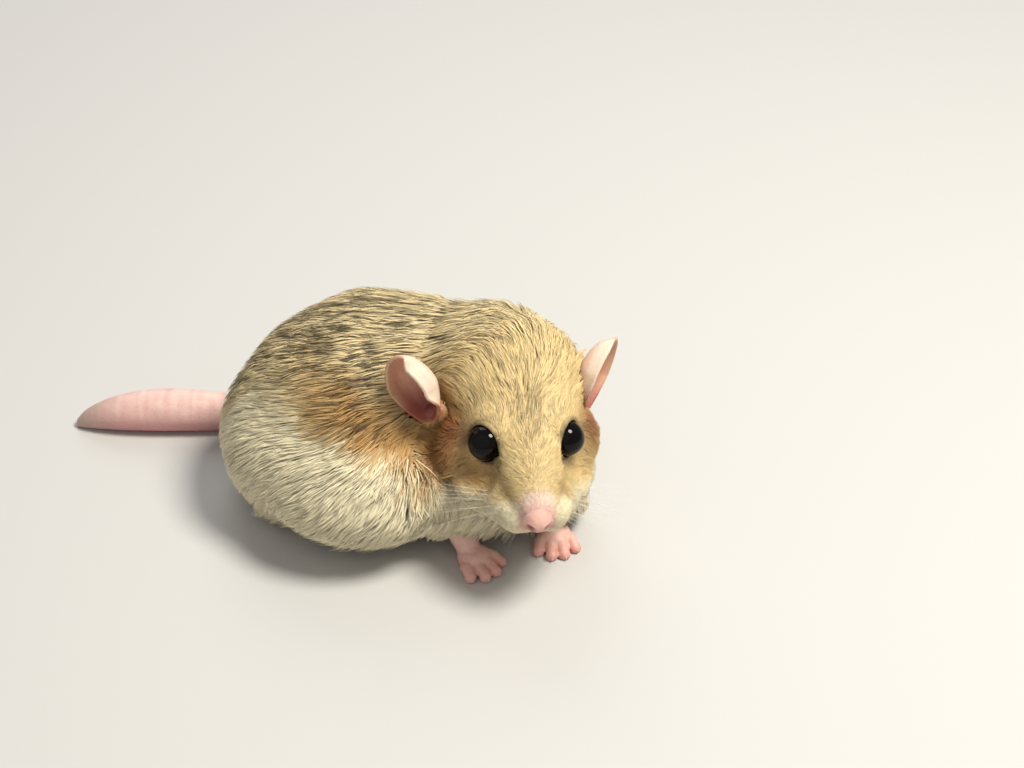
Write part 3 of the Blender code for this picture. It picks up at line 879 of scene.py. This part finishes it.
bare_trees = {name: tree_of(piece) for name, piece in bare.items()}
for piece in list(bare.values()) + lids:
    combine(flesh, piece)
for sign in (1, -1):
    combine(flesh, ellipsoid("socket", eye_frame(sign), (EYE_RADIUS + 0.06,) * 3, 5), "DIFFERENCE")
    combine(flesh, eye_window(sign), "DIFFERENCE")
soften_round_eyes(flesh)
skin = flesh
skin.name = "skin"


def on_surface(tree, places):
    """Which places lie on a surface."""
    hits = (tree.find_nearest(Vector(place) * MM, ON_SURFACE) for place in places)
    return np.array([hit[0] is not None and hit[3] < ON_SURFACE for hit in hits])


def skin_colours(obj):
    """Colour of every vertex of the skin, and 1 where it is bare."""
    places, normals = places_of(obj), normals_of(obj)
    colours, ticks = markings(places)
    colours = mix(colours, DARK, 0.3 * ticks) * 0.8
    local = head_places(places)
    bareness = np.zeros(len(places))
    for name, tree in bare_trees.items():
        near = on_surface(tree, places)
        spots = places[near]
        if name == "tail":
            x, _, z = spots.T
            rings = tail_wave(x) + 0.6 * ripple(spots, 4.0, 31)
            # Painted light: a deeper pink shade on the underside and a paler pink highlight along the
            # top, broken by the faint rings; grey towards the tip.
            tint = layered(
                np.tile(TAIL_PINK, (len(spots), 1)),
                (TAIL_SHADE_PINK, 0.6 * step(5.0, 0.3, z)),
                (PALE_PINK, np.clip(0.45 + 0.16 * rings, 0.0, 1.0) * step(2.5, 7.5, z)),
                (TAIL_GREY, 0.8 * step(-76.0, -86.0, x)),
            )
        elif name.startswith("ear"):
            at = ear_frame(name.split("_")[1])
            inner = places_in(at, spots)
            x, y, z = inner.T
            front = -y if name.endswith("left") else y
            inside = step(-0.3, 0.3, normals[near] @ np.array(at.to_3x3().col[0]))
            rim = step(-1.0, 0.2, x) * step(1.5, 5.0, z)
            # The ear's front flap: partly pale hair, partly a painted highlight where the light catches
            # it.
            lit_flap = step(0.6, 2.0, front) * step(-1.8, -0.6, x) * step(1.5, 4.5, z)
            pit_shade = blob(inner, (-1.6, 0.0, 1.4), (2.6, 3.4, 3.4)) * inside
            covered = np.maximum(np.maximum(1.0 - inside, step(2.0, 2.8, front)), step(-0.4, -1.2, z))
            root_hair = step(2.2, 0.6, z) * covered
            # Painted shade in the ear's cup: deeper red-brown towards its bottom and in its pit.
            tint = layered(
                np.tile(EAR_SHADE_DEEP, (len(spots), 1)),
                (EAR_PINK, step(0.5, 9.5, z)),
                (EAR_BACK, 0.8 * (1.0 - inside)),
                (EAR_EDGE, 0.75 * rim * step(1.5, -0.5, front)),
                (EAR_PALE_LIT, 0.95 * lit_flap),
                (NOSTRIL_RED, 0.9 * pit_shade),
                (colours[near], root_hair),
            )
            bareness[np.nonzero(near)[0][root_hair > 0.5]] = -1.0
        else:
            z = spots[:, 2]
            tint = np.tile(PINK, (len(spots), 1))
            sole = 0.25 * step(0.6, 0.0, z)
            tint = layered(tint, (PALE_PINK, 0.45 * step(0.8, 3.0, z)), (DEEP_PINK, sole))
        colours[near] = tint
        bareness[near] += 1.0
    reach = nose_reach(local)
    bareness = np.maximum(bareness, 1.0 - step(1.1, 1.2, reach))
    # Partly the lips' own deeper pink, partly painted shade in the mouth's line and the philtrum's
    # groove.
    lips_and_crease_shade = np.zeros(len(places))
    pits = np.zeros(len(places))
    for sign in (1, -1):
        lips_and_crease_shade += np.exp(-(mouth_distance(local, sign) / 0.45) ** 2)
        pits += np.exp(-(nostril_reach(local, sign, (1.5, 0.85, 0.7)) ** 2) * 1.3)
    lips_and_crease_shade += np.exp(-(line_distance(local, PHILTRUM) / 0.4) ** 2)
    colours = layered(
        colours,
        (PALE_PINK, 0.5 * step(6.0, 11.0, local[:, 0])),
        (NOSE_PINK, 1.0 - step(1.0, 2.0, reach)),
        (DEEP_PINK, 0.55 * step(-5.6, -7.4, local[:, 2]) * step(1.9, 1.1, reach)),
        (DEEP_PINK, np.clip(lips_and_crease_shade, 0, 0.85)),
        (NOSTRIL_RED, np.clip(pits, 0, 0.95)),
    )
    for sign in (1, -1):
        colours = mix(colours, LID * 0.35, 1.0 - step(0.15, 0.55, eye_gap(places, sign)))
    return colours, bareness


def store_markings(obj, colours):
    """Keep a colour for every vertex."""
    layer = obj.data.color_attributes.new("markings", "FLOAT_COLOR", "POINT")
    full = np.ones((len(colours), 4))
    full[:, :3] = colours
    layer.data.foreach_set("color", full.ravel())


skin_colour, skin_bareness = skin_colours(skin)
store_markings(skin, skin_colour)


def furred_ground():
    """Corners of the skin's furred triangles, its places and normals, and the triangles' areas."""
    skin.data.calc_loop_triangles()
    corners = np.empty(len(skin.data.loop_triangles) * 3, np.int32)
    skin.data.loop_triangles.foreach_get("vertices", corners)
    corners = corners.reshape(-1, 3)
    corners = corners[skin_bareness[corners].max(axis=1) < 0.5]
    places = places_of(skin)
    a, b, c = (places[corners[:, k]] for k in range(3))
    return corners, places, normals_of(skin), lengths(np.cross(b - a, c - a)) / 2


coat_ground = furred_ground()
flesh_tree = tree_of(skin)


# Coat
def coat_flow(places, facing):
    """The way that the hairs lie at each place, on skin that faces this way."""
    local = head_places(places)
    _, down, ways = trunk_places(places)
    drop = np.interp(np.abs(down), (20.0, 45.0, 75.0, 110.0), (0.05, 0.3, 0.85, 1.6))
    body = np.zeros_like(places)
    body[:, :2] = -ways
    ahead = (facing[:, :2] * ways).sum(1)
    body[:, 2] = -drop - 1.3 * step(0.25, 0.9, ahead) - 0.9 * step(0.3, 0.95, -ahead)
    backward = head_way(-1.0, 0.0, 0.0)
    outward = head_way(0.0, 1.0, 0.0)
    downward = head_way(0.0, 0.0, -1.0)
    spread = np.clip(local[:, 1] / 9.0, -1.2, 1.2)
    sag = np.interp(local[:, 2], (-12.0, -3.0, 4.0), (0.9, 0.35, 0.0))
    sag *= step(-12.0, 2.0, 2.0 - np.abs(local[:, 0]))
    head = backward + outward * (0.35 * spread)[:, None] + downward * sag[:, None]
    turning = -19.0 - 13.0 * step(-6.0, 8.0, local[:, 1])
    onto_head = step(turning, -6.0, local[:, 0]) * (1.0 - step(15.5, 19.5, np.abs(local[:, 1])))
    flow = unit(mix(body, head, onto_head * step(-19.0, -13.0, local[:, 2])))
    into = -(flow * facing).sum(1)
    flow[:, 2] -= 1.7 * step(0.2, 0.85, into)
    for sign in (1, -1):
        away = places - EYE_PLACES[sign]
        near = step(7.5, 4.4, lengths(away))
        away = unit(away)
        inward = np.minimum((flow * away).sum(1), 0.0)
        around = places_in(eye_frame(sign), places)[:, 2]
        flow += away * ((0.3 - inward) * near)[:, None]
        flow -= downward * (0.5 * near * np.tanh(around * 1.5))[:, None]
    for side in EARS:
        away = places - EAR_PLACES[side]
        near = lengths(away)
        flow += unit(away) * (0.8 * np.exp(-((near / 4.5) ** 4)))[:, None]
    wave = ripple(places, 11.0, 11) * 0.16 + ripple(places, 5.0, 12) * 0.12
    twist = np.cross(flow, np.array((0.31, -0.42, 0.85)))
    return unit(unit(flow) + twist * wave[:, None])


def barred(places):
    """True where no tuft grows: the nose, the lids' edge, the mouth's line and the sockets."""
    local = head_places(places)
    no_hair = nose_reach(local) < 0.98
    no_hair |= line_distance(local, PHILTRUM) < 0.3
    for sign in (1, -1):
        no_hair |= lengths(places - EYE_PLACES[sign]) < EYE_RADIUS + 0.12
        no_hair |= eye_gap(places, sign) < 0.22
        no_hair |= mouth_distance(local, sign) < 0.3
    return no_hair


def sow(ground, draw):
    """Roots spread over the ground, each with its normal."""
    corners, places, normals, area = ground
    middle = places[corners].mean(axis=1)
    depth = coat_depth(middle)
    cover = mix(BODY_COVER, FACE_COVER, headness(head_places(middle)))
    width = tuft_width(depth)
    length = np.maximum(depth, 0.22) * length_by_depth(headness(head_places(middle)))
    wanted = area * cover / (width * length)
    total = np.cumsum(wanted)
    count = int(total[-1])
    marks = (np.arange(count) + draw.random(count)) * total[-1] / count
    face = np.minimum(np.searchsorted(total, marks), len(area) - 1)
    r1 = np.sqrt(draw.random(count))
    r2 = draw.random(count)
    weights = np.stack((1 - r1, r1 * (1 - r2), r1 * r2), axis=1)
    roots = (places[corners[face]] * weights[:, :, None]).sum(1)
    facing = unit((normals[corners[face]] * weights[:, :, None]).sum(1))
    keep = ~barred(roots)
    return roots[keep], facing[keep]


def tuft_width(depth):
    return np.interp(depth, (0.2, 0.6, 1.2, 2.2), (0.10, 0.14, 0.18, 0.27))


def length_by_depth(head):
    return mix(BODY_LENGTH_BY_DEPTH, HEAD_LENGTH_BY_DEPTH, head)


def clump_places(roots):
    """Places in which a clump drawn out along the hairs is round."""
    local = head_places(roots)
    along, _, ways = trunk_places(roots)
    nearest = np.array([np.interp(along, SPINE_STEPS, SPINE[:, axis]) for axis in (0, 1)]).T
    out = roots[:, :2] - nearest
    aside = out[:, 1] * ways[:, 0] - out[:, 0] * ways[:, 1]
    body = np.stack((along * SPINE_LENGTH * CLUMP_STRETCH, aside, roots[:, 2]), axis=1)
    head = local * np.array((CLUMP_STRETCH, 1.0, 1.0)) + np.array((FAR_OFF, 0.0, 0.0))
    return np.where((headness(local) > 0.5)[:, None], head, body)


def gather(spots, size, draw):
    """The number of the clump that each root belongs to, and the root at each clump's middle."""
    count = len(spots)
    chosen = draw.permutation(count)[: max(8, int(count / size))]
    tree = KDTree(len(chosen))
    for index, number in enumerate(chosen):
        tree.insert(spots[number], index)
    tree.balance()
    owner = np.array([tree.find(spot)[1] for spot in spots])
    return owner, chosen


def pressed(line, room, tree):
    """Places along the tufts, brought down to their room above the skin and up out of it."""
    result = line.copy()
    for index, (place, high) in enumerate(zip(line, room)):
        hit, normal, _, _ = tree.find_nearest(Vector(place) * MM)
        normal = np.array(normal)
        above = float((place - np.array(hit) / MM) @ normal)
        if above > high:
            result[index] = place - normal * (above - high)
        elif above < 0.3 * high:
            result[index] = place + normal * (0.3 * high - above)
    return result


def grow(roots, facing, draw):
    """The points, widths and colours along every tuft."""
    count = len(roots)
    local = head_places(roots)
    head = headness(local)
    depth = np.maximum(coat_depth(roots), 0.18)
    length = depth * length_by_depth(head) * draw.uniform(0.7, 1.2, count)
    for side in EARS:
        near = lengths(roots - EAR_PLACES[side])
        length *= mix(0.22, 1.0, step(2.5, 7.5, near))
        depth *= mix(0.4, 1.0, step(2.5, 6.5, near))
    bald = step(0.95, 1.9, nose_reach(local))
    length *= mix(0.4, 1.0, bald)
    depth *= mix(0.3, 1.0, bald)
    width = tuft_width(depth) * draw.uniform(0.7, 1.25, count) * mix(0.6, 1.0, bald)
    flow = coat_flow(roots, facing) + draw.normal(size=(count, 3)) * 0.10
    flow = unit(flow - facing * (flow * facing).sum(1)[:, None])
    lift = draw.uniform(0.38, 0.62, count) * mix(1.0, 0.85, head)
    spots = clump_places(roots)
    owner, chosen = gather(roots, CLUMP_TUFTS, draw)
    hem = step(10.0, 4.0, roots[:, 2]) * (1.0 - head)
    strand = hem * draw.random(len(chosen))[owner]
    lift += 0.4 * strand
    tips = roots + (flow + facing * (lift * 0.55)[:, None]) * length[:, None]
    pull = tips[chosen][owner] - tips
    reach = lengths(pull)
    pull *= ((0.6 + 0.35 * hem) * np.minimum(1.0, 0.35 * length / np.maximum(reach, 1e-6)))[:, None]
    pull -= facing * (pull * facing).sum(1)[:, None] * 0.6
    points = []
    for share in TUFT_SHARES:
        rise = lift * (share - 0.45 * share * share)
        way = flow * (0.78 * share + 0.22 * share * share) + facing * rise[:, None]
        points.append(roots + way * length[:, None] + pull * (share**1.7))
    points[0] = points[0] - facing * (0.12 * depth)[:, None]
    loose = draw.uniform(0.65, 1.2, count) * depth * (1.0 + 2.8 * strand)
    points[2] = pressed(points[2], loose * 0.85, flesh_tree)
    points[3] = pressed(points[3], loose, flesh_tree)
    for line in points:
        line[:, 2] = np.maximum(line[:, 2], LOWEST_HAIR)

    base, ticked = markings(roots, draw.normal(size=count) * 2.5)
    clump_tone = draw.normal(size=len(chosen))[owner]
    tone = np.clip(1.0 + 0.06 * clump_tone + draw.normal(size=count) * 0.05, 0.75, 1.25)
    base = base * tone[:, None]
    tick, starts = gather(spots, TICK_TUFTS, draw)
    chance = mix(draw.random(len(starts))[tick], draw.random(count), 0.3 * head)
    chance = chance + draw.normal(size=count) * 0.06
    dark = step(0.06, -0.06, chance - ticked * TICK_SHARE) * mix(1.0, 0.8, head)
    pale = 1.0 + 0.16 * ticked * (1.0 - dark)
    white = step(0.5, 0.7, base[:, 2] / np.maximum(base[:, 0], 1e-4))
    soft_tick = 0.75 * head * (1.0 - 0.9 * blob(local, *CROWN))
    tick_colour = mix(np.tile(DARK, (count, 1)), OLIVE, soft_tick)
    # Painted shade: roots darkened (least on the muzzle) and greyed between the white tufts, and middles
    # a little darker than the base colour.
    root_shade = mix(0.62, 0.92, step(7.0, 11.0, local[:, 0]) * head)
    root_colour = mix(base * root_shade[:, None], GREY_ROOT_SHADE * 0.7, 0.5 * white * (1.0 - head))
    middle_colour = mix(base * 0.92, tick_colour, 0.15 * dark)
    late_colour = mix(base * pale[:, None], tick_colour, 0.7 * dark)
    tip_colour = mix(base * (1.08 * pale)[:, None], tick_colour, dark)
    return points, width, facing, (root_colour, middle_colour, late_colour, tip_colour)


# Width of a tuft at each of its rings, and where its corners lie in its patch of the unwrap
PROFILES = {3: (0.8, 1.0, 0.62), 2: (0.95, 0.78)}
PATCHES = {
    3: (
        (-1, -1), (1, -1), (0, -1), (-1, 0), (1, 0), (0, 0.2), (-0.6, 0.7), (0.6, 0.7), (0, 0.7), (0, 1),
    ),
    2: ((-1, -1), (1, -1), (0, -1), (-0.8, 0.3), (0.8, 0.3), (0, 0.5), (0, 1)),
}


def tuft_mesh(name, points, width, facing, colours, uv):
    """Closed three-sided tapering tufts, all in one mesh."""
    count = len(width)
    way = unit(points[-1] - points[0])
    across = unit(np.cross(facing, way))
    upward = np.cross(way, across)
    corners = []
    rings = len(points) - 1
    for line, share in zip(points, PROFILES[rings]):
        half = (width * share / 2)[:, None]
        corners += [line - across * half, line + across * half, line + upward * half * 0.7]
    corners.append(points[-1])
    verts = np.stack(corners, axis=1)
    per = verts.shape[1]
    pattern = [(0, 2, 1)]
    for a, b in ((0, 1), (1, 2), (2, 0)):
        for ring in range(0, per - 4, 3):
            pattern += [(ring + a, ring + b, ring + b + 3), (ring + a, ring + b + 3, ring + a + 3)]
        pattern.append((per - 4 + a, per - 4 + b, per - 1))
    pattern = np.array(pattern, np.int32)
    loops = (pattern[None] + (np.arange(count, dtype=np.int32) * per)[:, None, None]).reshape(-1)
    faces = count * len(pattern)
    mesh = bpy.data.meshes.new(name)
    mesh.vertices.add(count * per)
    mesh.vertices.foreach_set("co", (verts * MM).ravel())
    mesh.loops.add(len(loops))
    mesh.loops.foreach_set("vertex_index", loops)
    mesh.polygons.add(faces)
    mesh.polygons.foreach_set("loop_start", np.arange(0, len(loops), 3, dtype=np.int32))
    mesh.update(calc_edges=True)
    mesh.validate()
    obj = holder_of(name, mesh)
    shades = [shade for shade in colours[:-1] for _ in range(3)] + [colours[-1]]
    store_markings(obj, np.stack(shades, axis=1).reshape(-1, 3))
    patch = uv[:, None, :] + np.array(PATCHES[rings])[None] * PATCH_SIZE
    layer = mesh.uv_layers.new(name="OFBake")
    layer.data.foreach_set("uv", patch.reshape(-1, 2)[loops].ravel())
    mesh.polygons.foreach_set("use_smooth", np.ones(faces, bool))
    own = normals_of(obj)
    lie = np.repeat(facing, per, axis=0)
    mesh.normals_split_custom_set_from_vertices(unit(mix(own, lie, NORMAL_SOFTNESS)))
    return obj


def scaled(values):
    low, high = values.min(), values.max()
    return 0.004 + 0.992 * (values - low) / max(high - low, 1e-6)


def with_two_rings(line):
    return [line[0], (line[1] + line[2]) / 2, line[3]]


def coat_pieces(roots, facing, draw):
    """Tufts in bands round the body and the head, unwrapped along them and round them."""
    points, width, facing, colours = grow(roots, facing, draw)
    local = head_places(roots)
    along, down, _ = trunk_places(roots)
    head_round = np.degrees(np.arctan2(local[:, 1], local[:, 2] + 3.0))
    on_face = headness(local) > 0.5
    made = []
    for name, chosen, first, second, rings in (
        ("coat_head", on_face, local[:, 0], head_round, 2),
        ("coat_body", ~on_face, along, down, 3),
    ):
        numbers = np.nonzero(chosen)[0]
        bands = math.ceil(len(numbers) * (6 * rings - 2) / TRIANGLES_A_PIECE)
        order = numbers[np.argsort(second[numbers], kind="stable")]
        for index, band in enumerate(np.array_split(order, bands), 1):
            uv = np.stack((scaled(first[band]), scaled(second[band])), axis=1)
            lines = [line[band] for line in points]
            shades = [shade[band] for shade in colours]
            if rings == 2:
                lines, shades = with_two_rings(lines), with_two_rings(shades)
            made.append(tuft_mesh(f"{name}_{index}", lines, width[band], facing[band], shades, uv))
    return made


draw = np.random.default_rng(SEED)
roots, facing = sow(coat_ground, draw)
coat = coat_pieces(roots, facing, draw)


# Eyes and whiskers
WHISKER_ROWS = 3
WHISKERS_A_ROW = 5
WHISKER_POINTS = 9


def eyeball(side, sign):
    """A smooth ball with a slightly raised cornea."""
    bm = bmesh.new()
    bmesh.ops.create_uvsphere(bm, u_segments=64, v_segments=40, radius=EYE_RADIUS * MM)
    bmesh.ops.rotate(bm, verts=bm.verts, matrix=Matrix.Rotation(math.radians(90.0), 3, "Y"))
    for vert in bm.verts:
        front = max(0.0, vert.co.x / (EYE_RADIUS * MM))
        vert.co *= 1.0 + 0.035 * front**6
    bmesh.ops.transform(bm, matrix=eye_frame(sign), verts=bm.verts)
    return object_of("eyeball_" + side, bm)


def whiskers(side, sign, draw):
    """Long, very fine whiskers fanned out from the muzzle's pad, drooping at their ends."""
    bm = bmesh.new()
    for row in range(WHISKER_ROWS):
        for number in range(WHISKERS_A_ROW):
            aside = (2.8 + number * 0.8 + row * 0.3) * sign
            start = Vector((11.8 - number * 1.1 - row * 0.3, aside, -5.2 - row * 1.0))
            length = 8.0 + number * 2.2 + draw.uniform(-1.5, 1.5)
            back = 0.1 + 0.12 * sign - number * 0.11 + draw.uniform(-0.08, 0.08)
            rise = -0.15 - 0.08 * sign - row * 0.16 + draw.uniform(-0.08, 0.08)
            out = Vector((back, sign, rise)).normalized()
            curl = Vector((-0.25, 0.0, -0.28 - 0.05 * row))
            points = []
            for index in range(WHISKER_POINTS):
                share = index / (WHISKER_POINTS - 1)
                place = start + out * length * share + curl * length * share * share
                points.append((place, 0.032 * (1.0 - share) ** 0.8 + 0.008))
            hair = limb("hair", points, HEAD, 5)
            bm.from_mesh(hair.data)
            discard(hair)
    return object_of("whiskers_" + side, bm)


eyes = {side: eyeball(side, sign) for side, sign in SIDES}
feelers = [whiskers(side, sign, draw) for side, sign in SIDES]


# Materials
def fill(made, values):
    for socket, value in values.items():
        made.inputs[socket].default_value = value


def material(name, values):
    """A shader with these values on its own sockets."""
    made = bpy.data.materials.new(name)
    made.use_nodes = True
    tree = made.node_tree
    shader = tree.nodes["Principled BSDF"]
    fill(shader, values)
    return made, tree, shader


def link(tree, source, target):
    tree.links.new(source, target)


def node(tree, kind, **values):
    made = tree.nodes.new(kind)
    for key, value in values.items():
        setattr(made, key, value)
    return made


def marked_surface():
    """The markings with a fine mottle, and a normal with the unevenness of that mottle."""
    group = bpy.data.node_groups.new("marked surface", "ShaderNodeTree")
    for name, value in (("Scale", 1600.0), ("Mottle", 0.1), ("Strength", 0.3), ("Distance", 0.0002)):
        socket = group.interface.new_socket(name, in_out="INPUT", socket_type="NodeSocketFloat")
        socket.default_value = value
    group.interface.new_socket("Colour", in_out="OUTPUT", socket_type="NodeSocketColor")
    group.interface.new_socket("Normal", in_out="OUTPUT", socket_type="NodeSocketVector")
    given = group.nodes.new("NodeGroupInput")
    result = group.nodes.new("NodeGroupOutput")
    where = node(group, "ShaderNodeTexCoord")
    noise = node(group, "ShaderNodeTexNoise")
    fill(noise, {"Detail": 4.0})
    link(group, where.outputs["Object"], noise.inputs["Vector"])
    link(group, given.outputs["Scale"], noise.inputs["Scale"])
    bump = node(group, "ShaderNodeBump")
    link(group, given.outputs["Strength"], bump.inputs["Strength"])
    link(group, given.outputs["Distance"], bump.inputs["Distance"])
    link(group, noise.outputs["Fac"], bump.inputs["Height"])
    colour = node(group, "ShaderNodeAttribute", attribute_name="markings")
    patch = node(group, "ShaderNodeMapRange")
    fill(patch, {"From Min": 0.7, "From Max": 0.3})
    share = node(group, "ShaderNodeMath", operation="MULTIPLY")
    tint = node(group, "ShaderNodeMix", data_type="RGBA", blend_type="MULTIPLY")
    fill(tint, {"B": (0.0, 0.0, 0.0, 1.0)})
    link(group, noise.outputs["Fac"], patch.inputs["Value"])
    link(group, patch.outputs["Result"], share.inputs[0])
    link(group, given.outputs["Mottle"], share.inputs[1])
    link(group, share.outputs["Value"], tint.inputs["Factor"])
    link(group, colour.outputs["Color"], tint.inputs["A"])
    link(group, tint.outputs["Result"], result.inputs["Colour"])
    link(group, bump.outputs["Normal"], result.inputs["Normal"])
    return group


MARKED = marked_surface()


def marked_material(name, values, scale, mottle, strength):
    made, tree, shader = material(name, values)
    marked = tree.nodes.new("ShaderNodeGroup")
    marked.node_tree = MARKED
    fill(marked, {"Scale": scale, "Mottle": mottle, "Strength": strength})
    link(tree, marked.outputs["Colour"], shader.inputs["Base Color"])
    link(tree, marked.outputs["Normal"], shader.inputs["Normal"])
    return made


SKIN_LOOK = {
    "Roughness": 0.42,
    "Subsurface Weight": 0.2,
    "Subsurface Radius": (1.0, 0.35, 0.2),
    "Subsurface Scale": 0.0012,
}
EYE_LOOK = {
    "Base Color": (0.003, 0.002, 0.002, 1.0),
    "Roughness": 0.05,
    "IOR": 1.3,
    "Specular IOR Level": 0.4,
}
furred = marked_material("furred skin", {"Roughness": 0.8}, 2500.0, 0.25, 0.5)
bare_skin = marked_material("bare skin", SKIN_LOOK, 1600.0, 0.10, 0.35)
hair = marked_material("coat hair", {"Roughness": 0.55, "Specular IOR Level": 0.3}, 900.0, 0.12, 0.0)
wet = material("wet eye", EYE_LOOK)[0]
horn = material("pale claw", {"Base Color": (0.72, 0.52, 0.44, 1.0), "Roughness": 0.35})[0]
bristle = material("whisker", {"Base Color": (0.85, 0.80, 0.70, 1.0), "Roughness": 0.4})[0]


def finish_skin():
    """Two finishes on one skin, split where it is bare."""
    skin.data.materials.clear()
    skin.data.materials.append(furred)
    skin.data.materials.append(bare_skin)
    looks = [int(skin_bareness[face.vertices[0]] > 0.5) for face in skin.data.polygons]
    skin.data.polygons.foreach_set("material_index", looks)
    skin.data.polygons.foreach_set("use_smooth", np.ones(len(looks), bool))


finish_skin()
FLESH = (
    "head", "neck", "torso", "foreleg_left", "foreleg_right", "hindleg_left", "hindleg_right",
    "forefoot_left", "forefoot_right", "hindfoot_left", "hindfoot_right", "ear_left", "ear_right", "tail",
)


def settle(piece, look=None):
    """Move a finished piece from where the animal was posed to where the part stands."""
    piece.data.transform(Matrix.Translation(SHIFT))
    if look:
        piece.data.materials.clear()
        piece.data.materials.append(look)
        piece.data.polygons.foreach_set("use_smooth", np.ones(len(piece.data.polygons), bool))
    piece.data.update()
    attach(piece, "root")


settle(skin)
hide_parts(*FLESH)
for piece in coat:
    settle(piece, hair)
for side, ball in eyes.items():
    settle(ball, wet)
    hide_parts("eye_" + side)
for name, piece in claws.items():
    piece.name = "claws_" + name
    settle(piece, horn)
for piece in feelers:
    settle(piece, bristle)


# Floor, light and camera
FOCAL_PIXELS = 1925.0
PICTURE_PIXELS = 1024.0
CAMERA_AT = (0.0, -0.3112642, 0.2431863)
CAMERA_TILT = 52.0


def stage_floor():
    bm = bmesh.new()
    bmesh.ops.create_grid(bm, x_segments=1, y_segments=1, size=3.0)
    floor = object_of("floor", bm)
    look = {"Base Color": (0.56, 0.55, 0.53, 1.0), "Roughness": 0.75}
    floor.data.materials.append(material("pale floor", look)[0])


def area_light(name, at, size, power, colour):
    lamp = bpy.data.lights.new(name, "AREA")
    lamp.shape = "DISK"
    lamp.size = size
    lamp.energy = power
    lamp.color = colour
    holder = holder_of(name, lamp)
    holder.location = at
    holder.rotation_euler = (-Vector(at)).to_track_quat("-Z", "Y").to_euler()


def camera():
    """As high and as near as the photograph was taken from."""
    lens = bpy.data.cameras.new("camera")
    lens.sensor_width = 36.0
    lens.lens = lens.sensor_width * FOCAL_PIXELS / PICTURE_PIXELS
    lens.clip_start = 0.01
    holder = holder_of("camera", lens)
    holder.location = Vector(CAMERA_AT) + SHIFT
    holder.rotation_euler = (math.radians(CAMERA_TILT), 0.0, 0.0)
    bpy.context.scene.camera = holder


stage_floor()
area_light("key", (0.26, -0.06, 0.52), 0.2, 4.0, (1.0, 0.96, 0.88))
area_light("fill", (-0.60, -0.80, 0.70), 2.6, 3.6, (1.0, 0.97, 0.92))
area_light("back", (-0.1, 0.6, 0.5), 0.5, 1.6, (0.97, 0.98, 1.0))
bpy.context.scene.view_settings.view_transform = "Standard"
world = bpy.data.worlds.new("studio")
world.use_nodes = True
fill(world.node_tree.nodes["Background"], {"Color": (0.9, 0.9, 0.9, 1.0), "Strength": 0.35})
bpy.context.scene.world = world
camera()
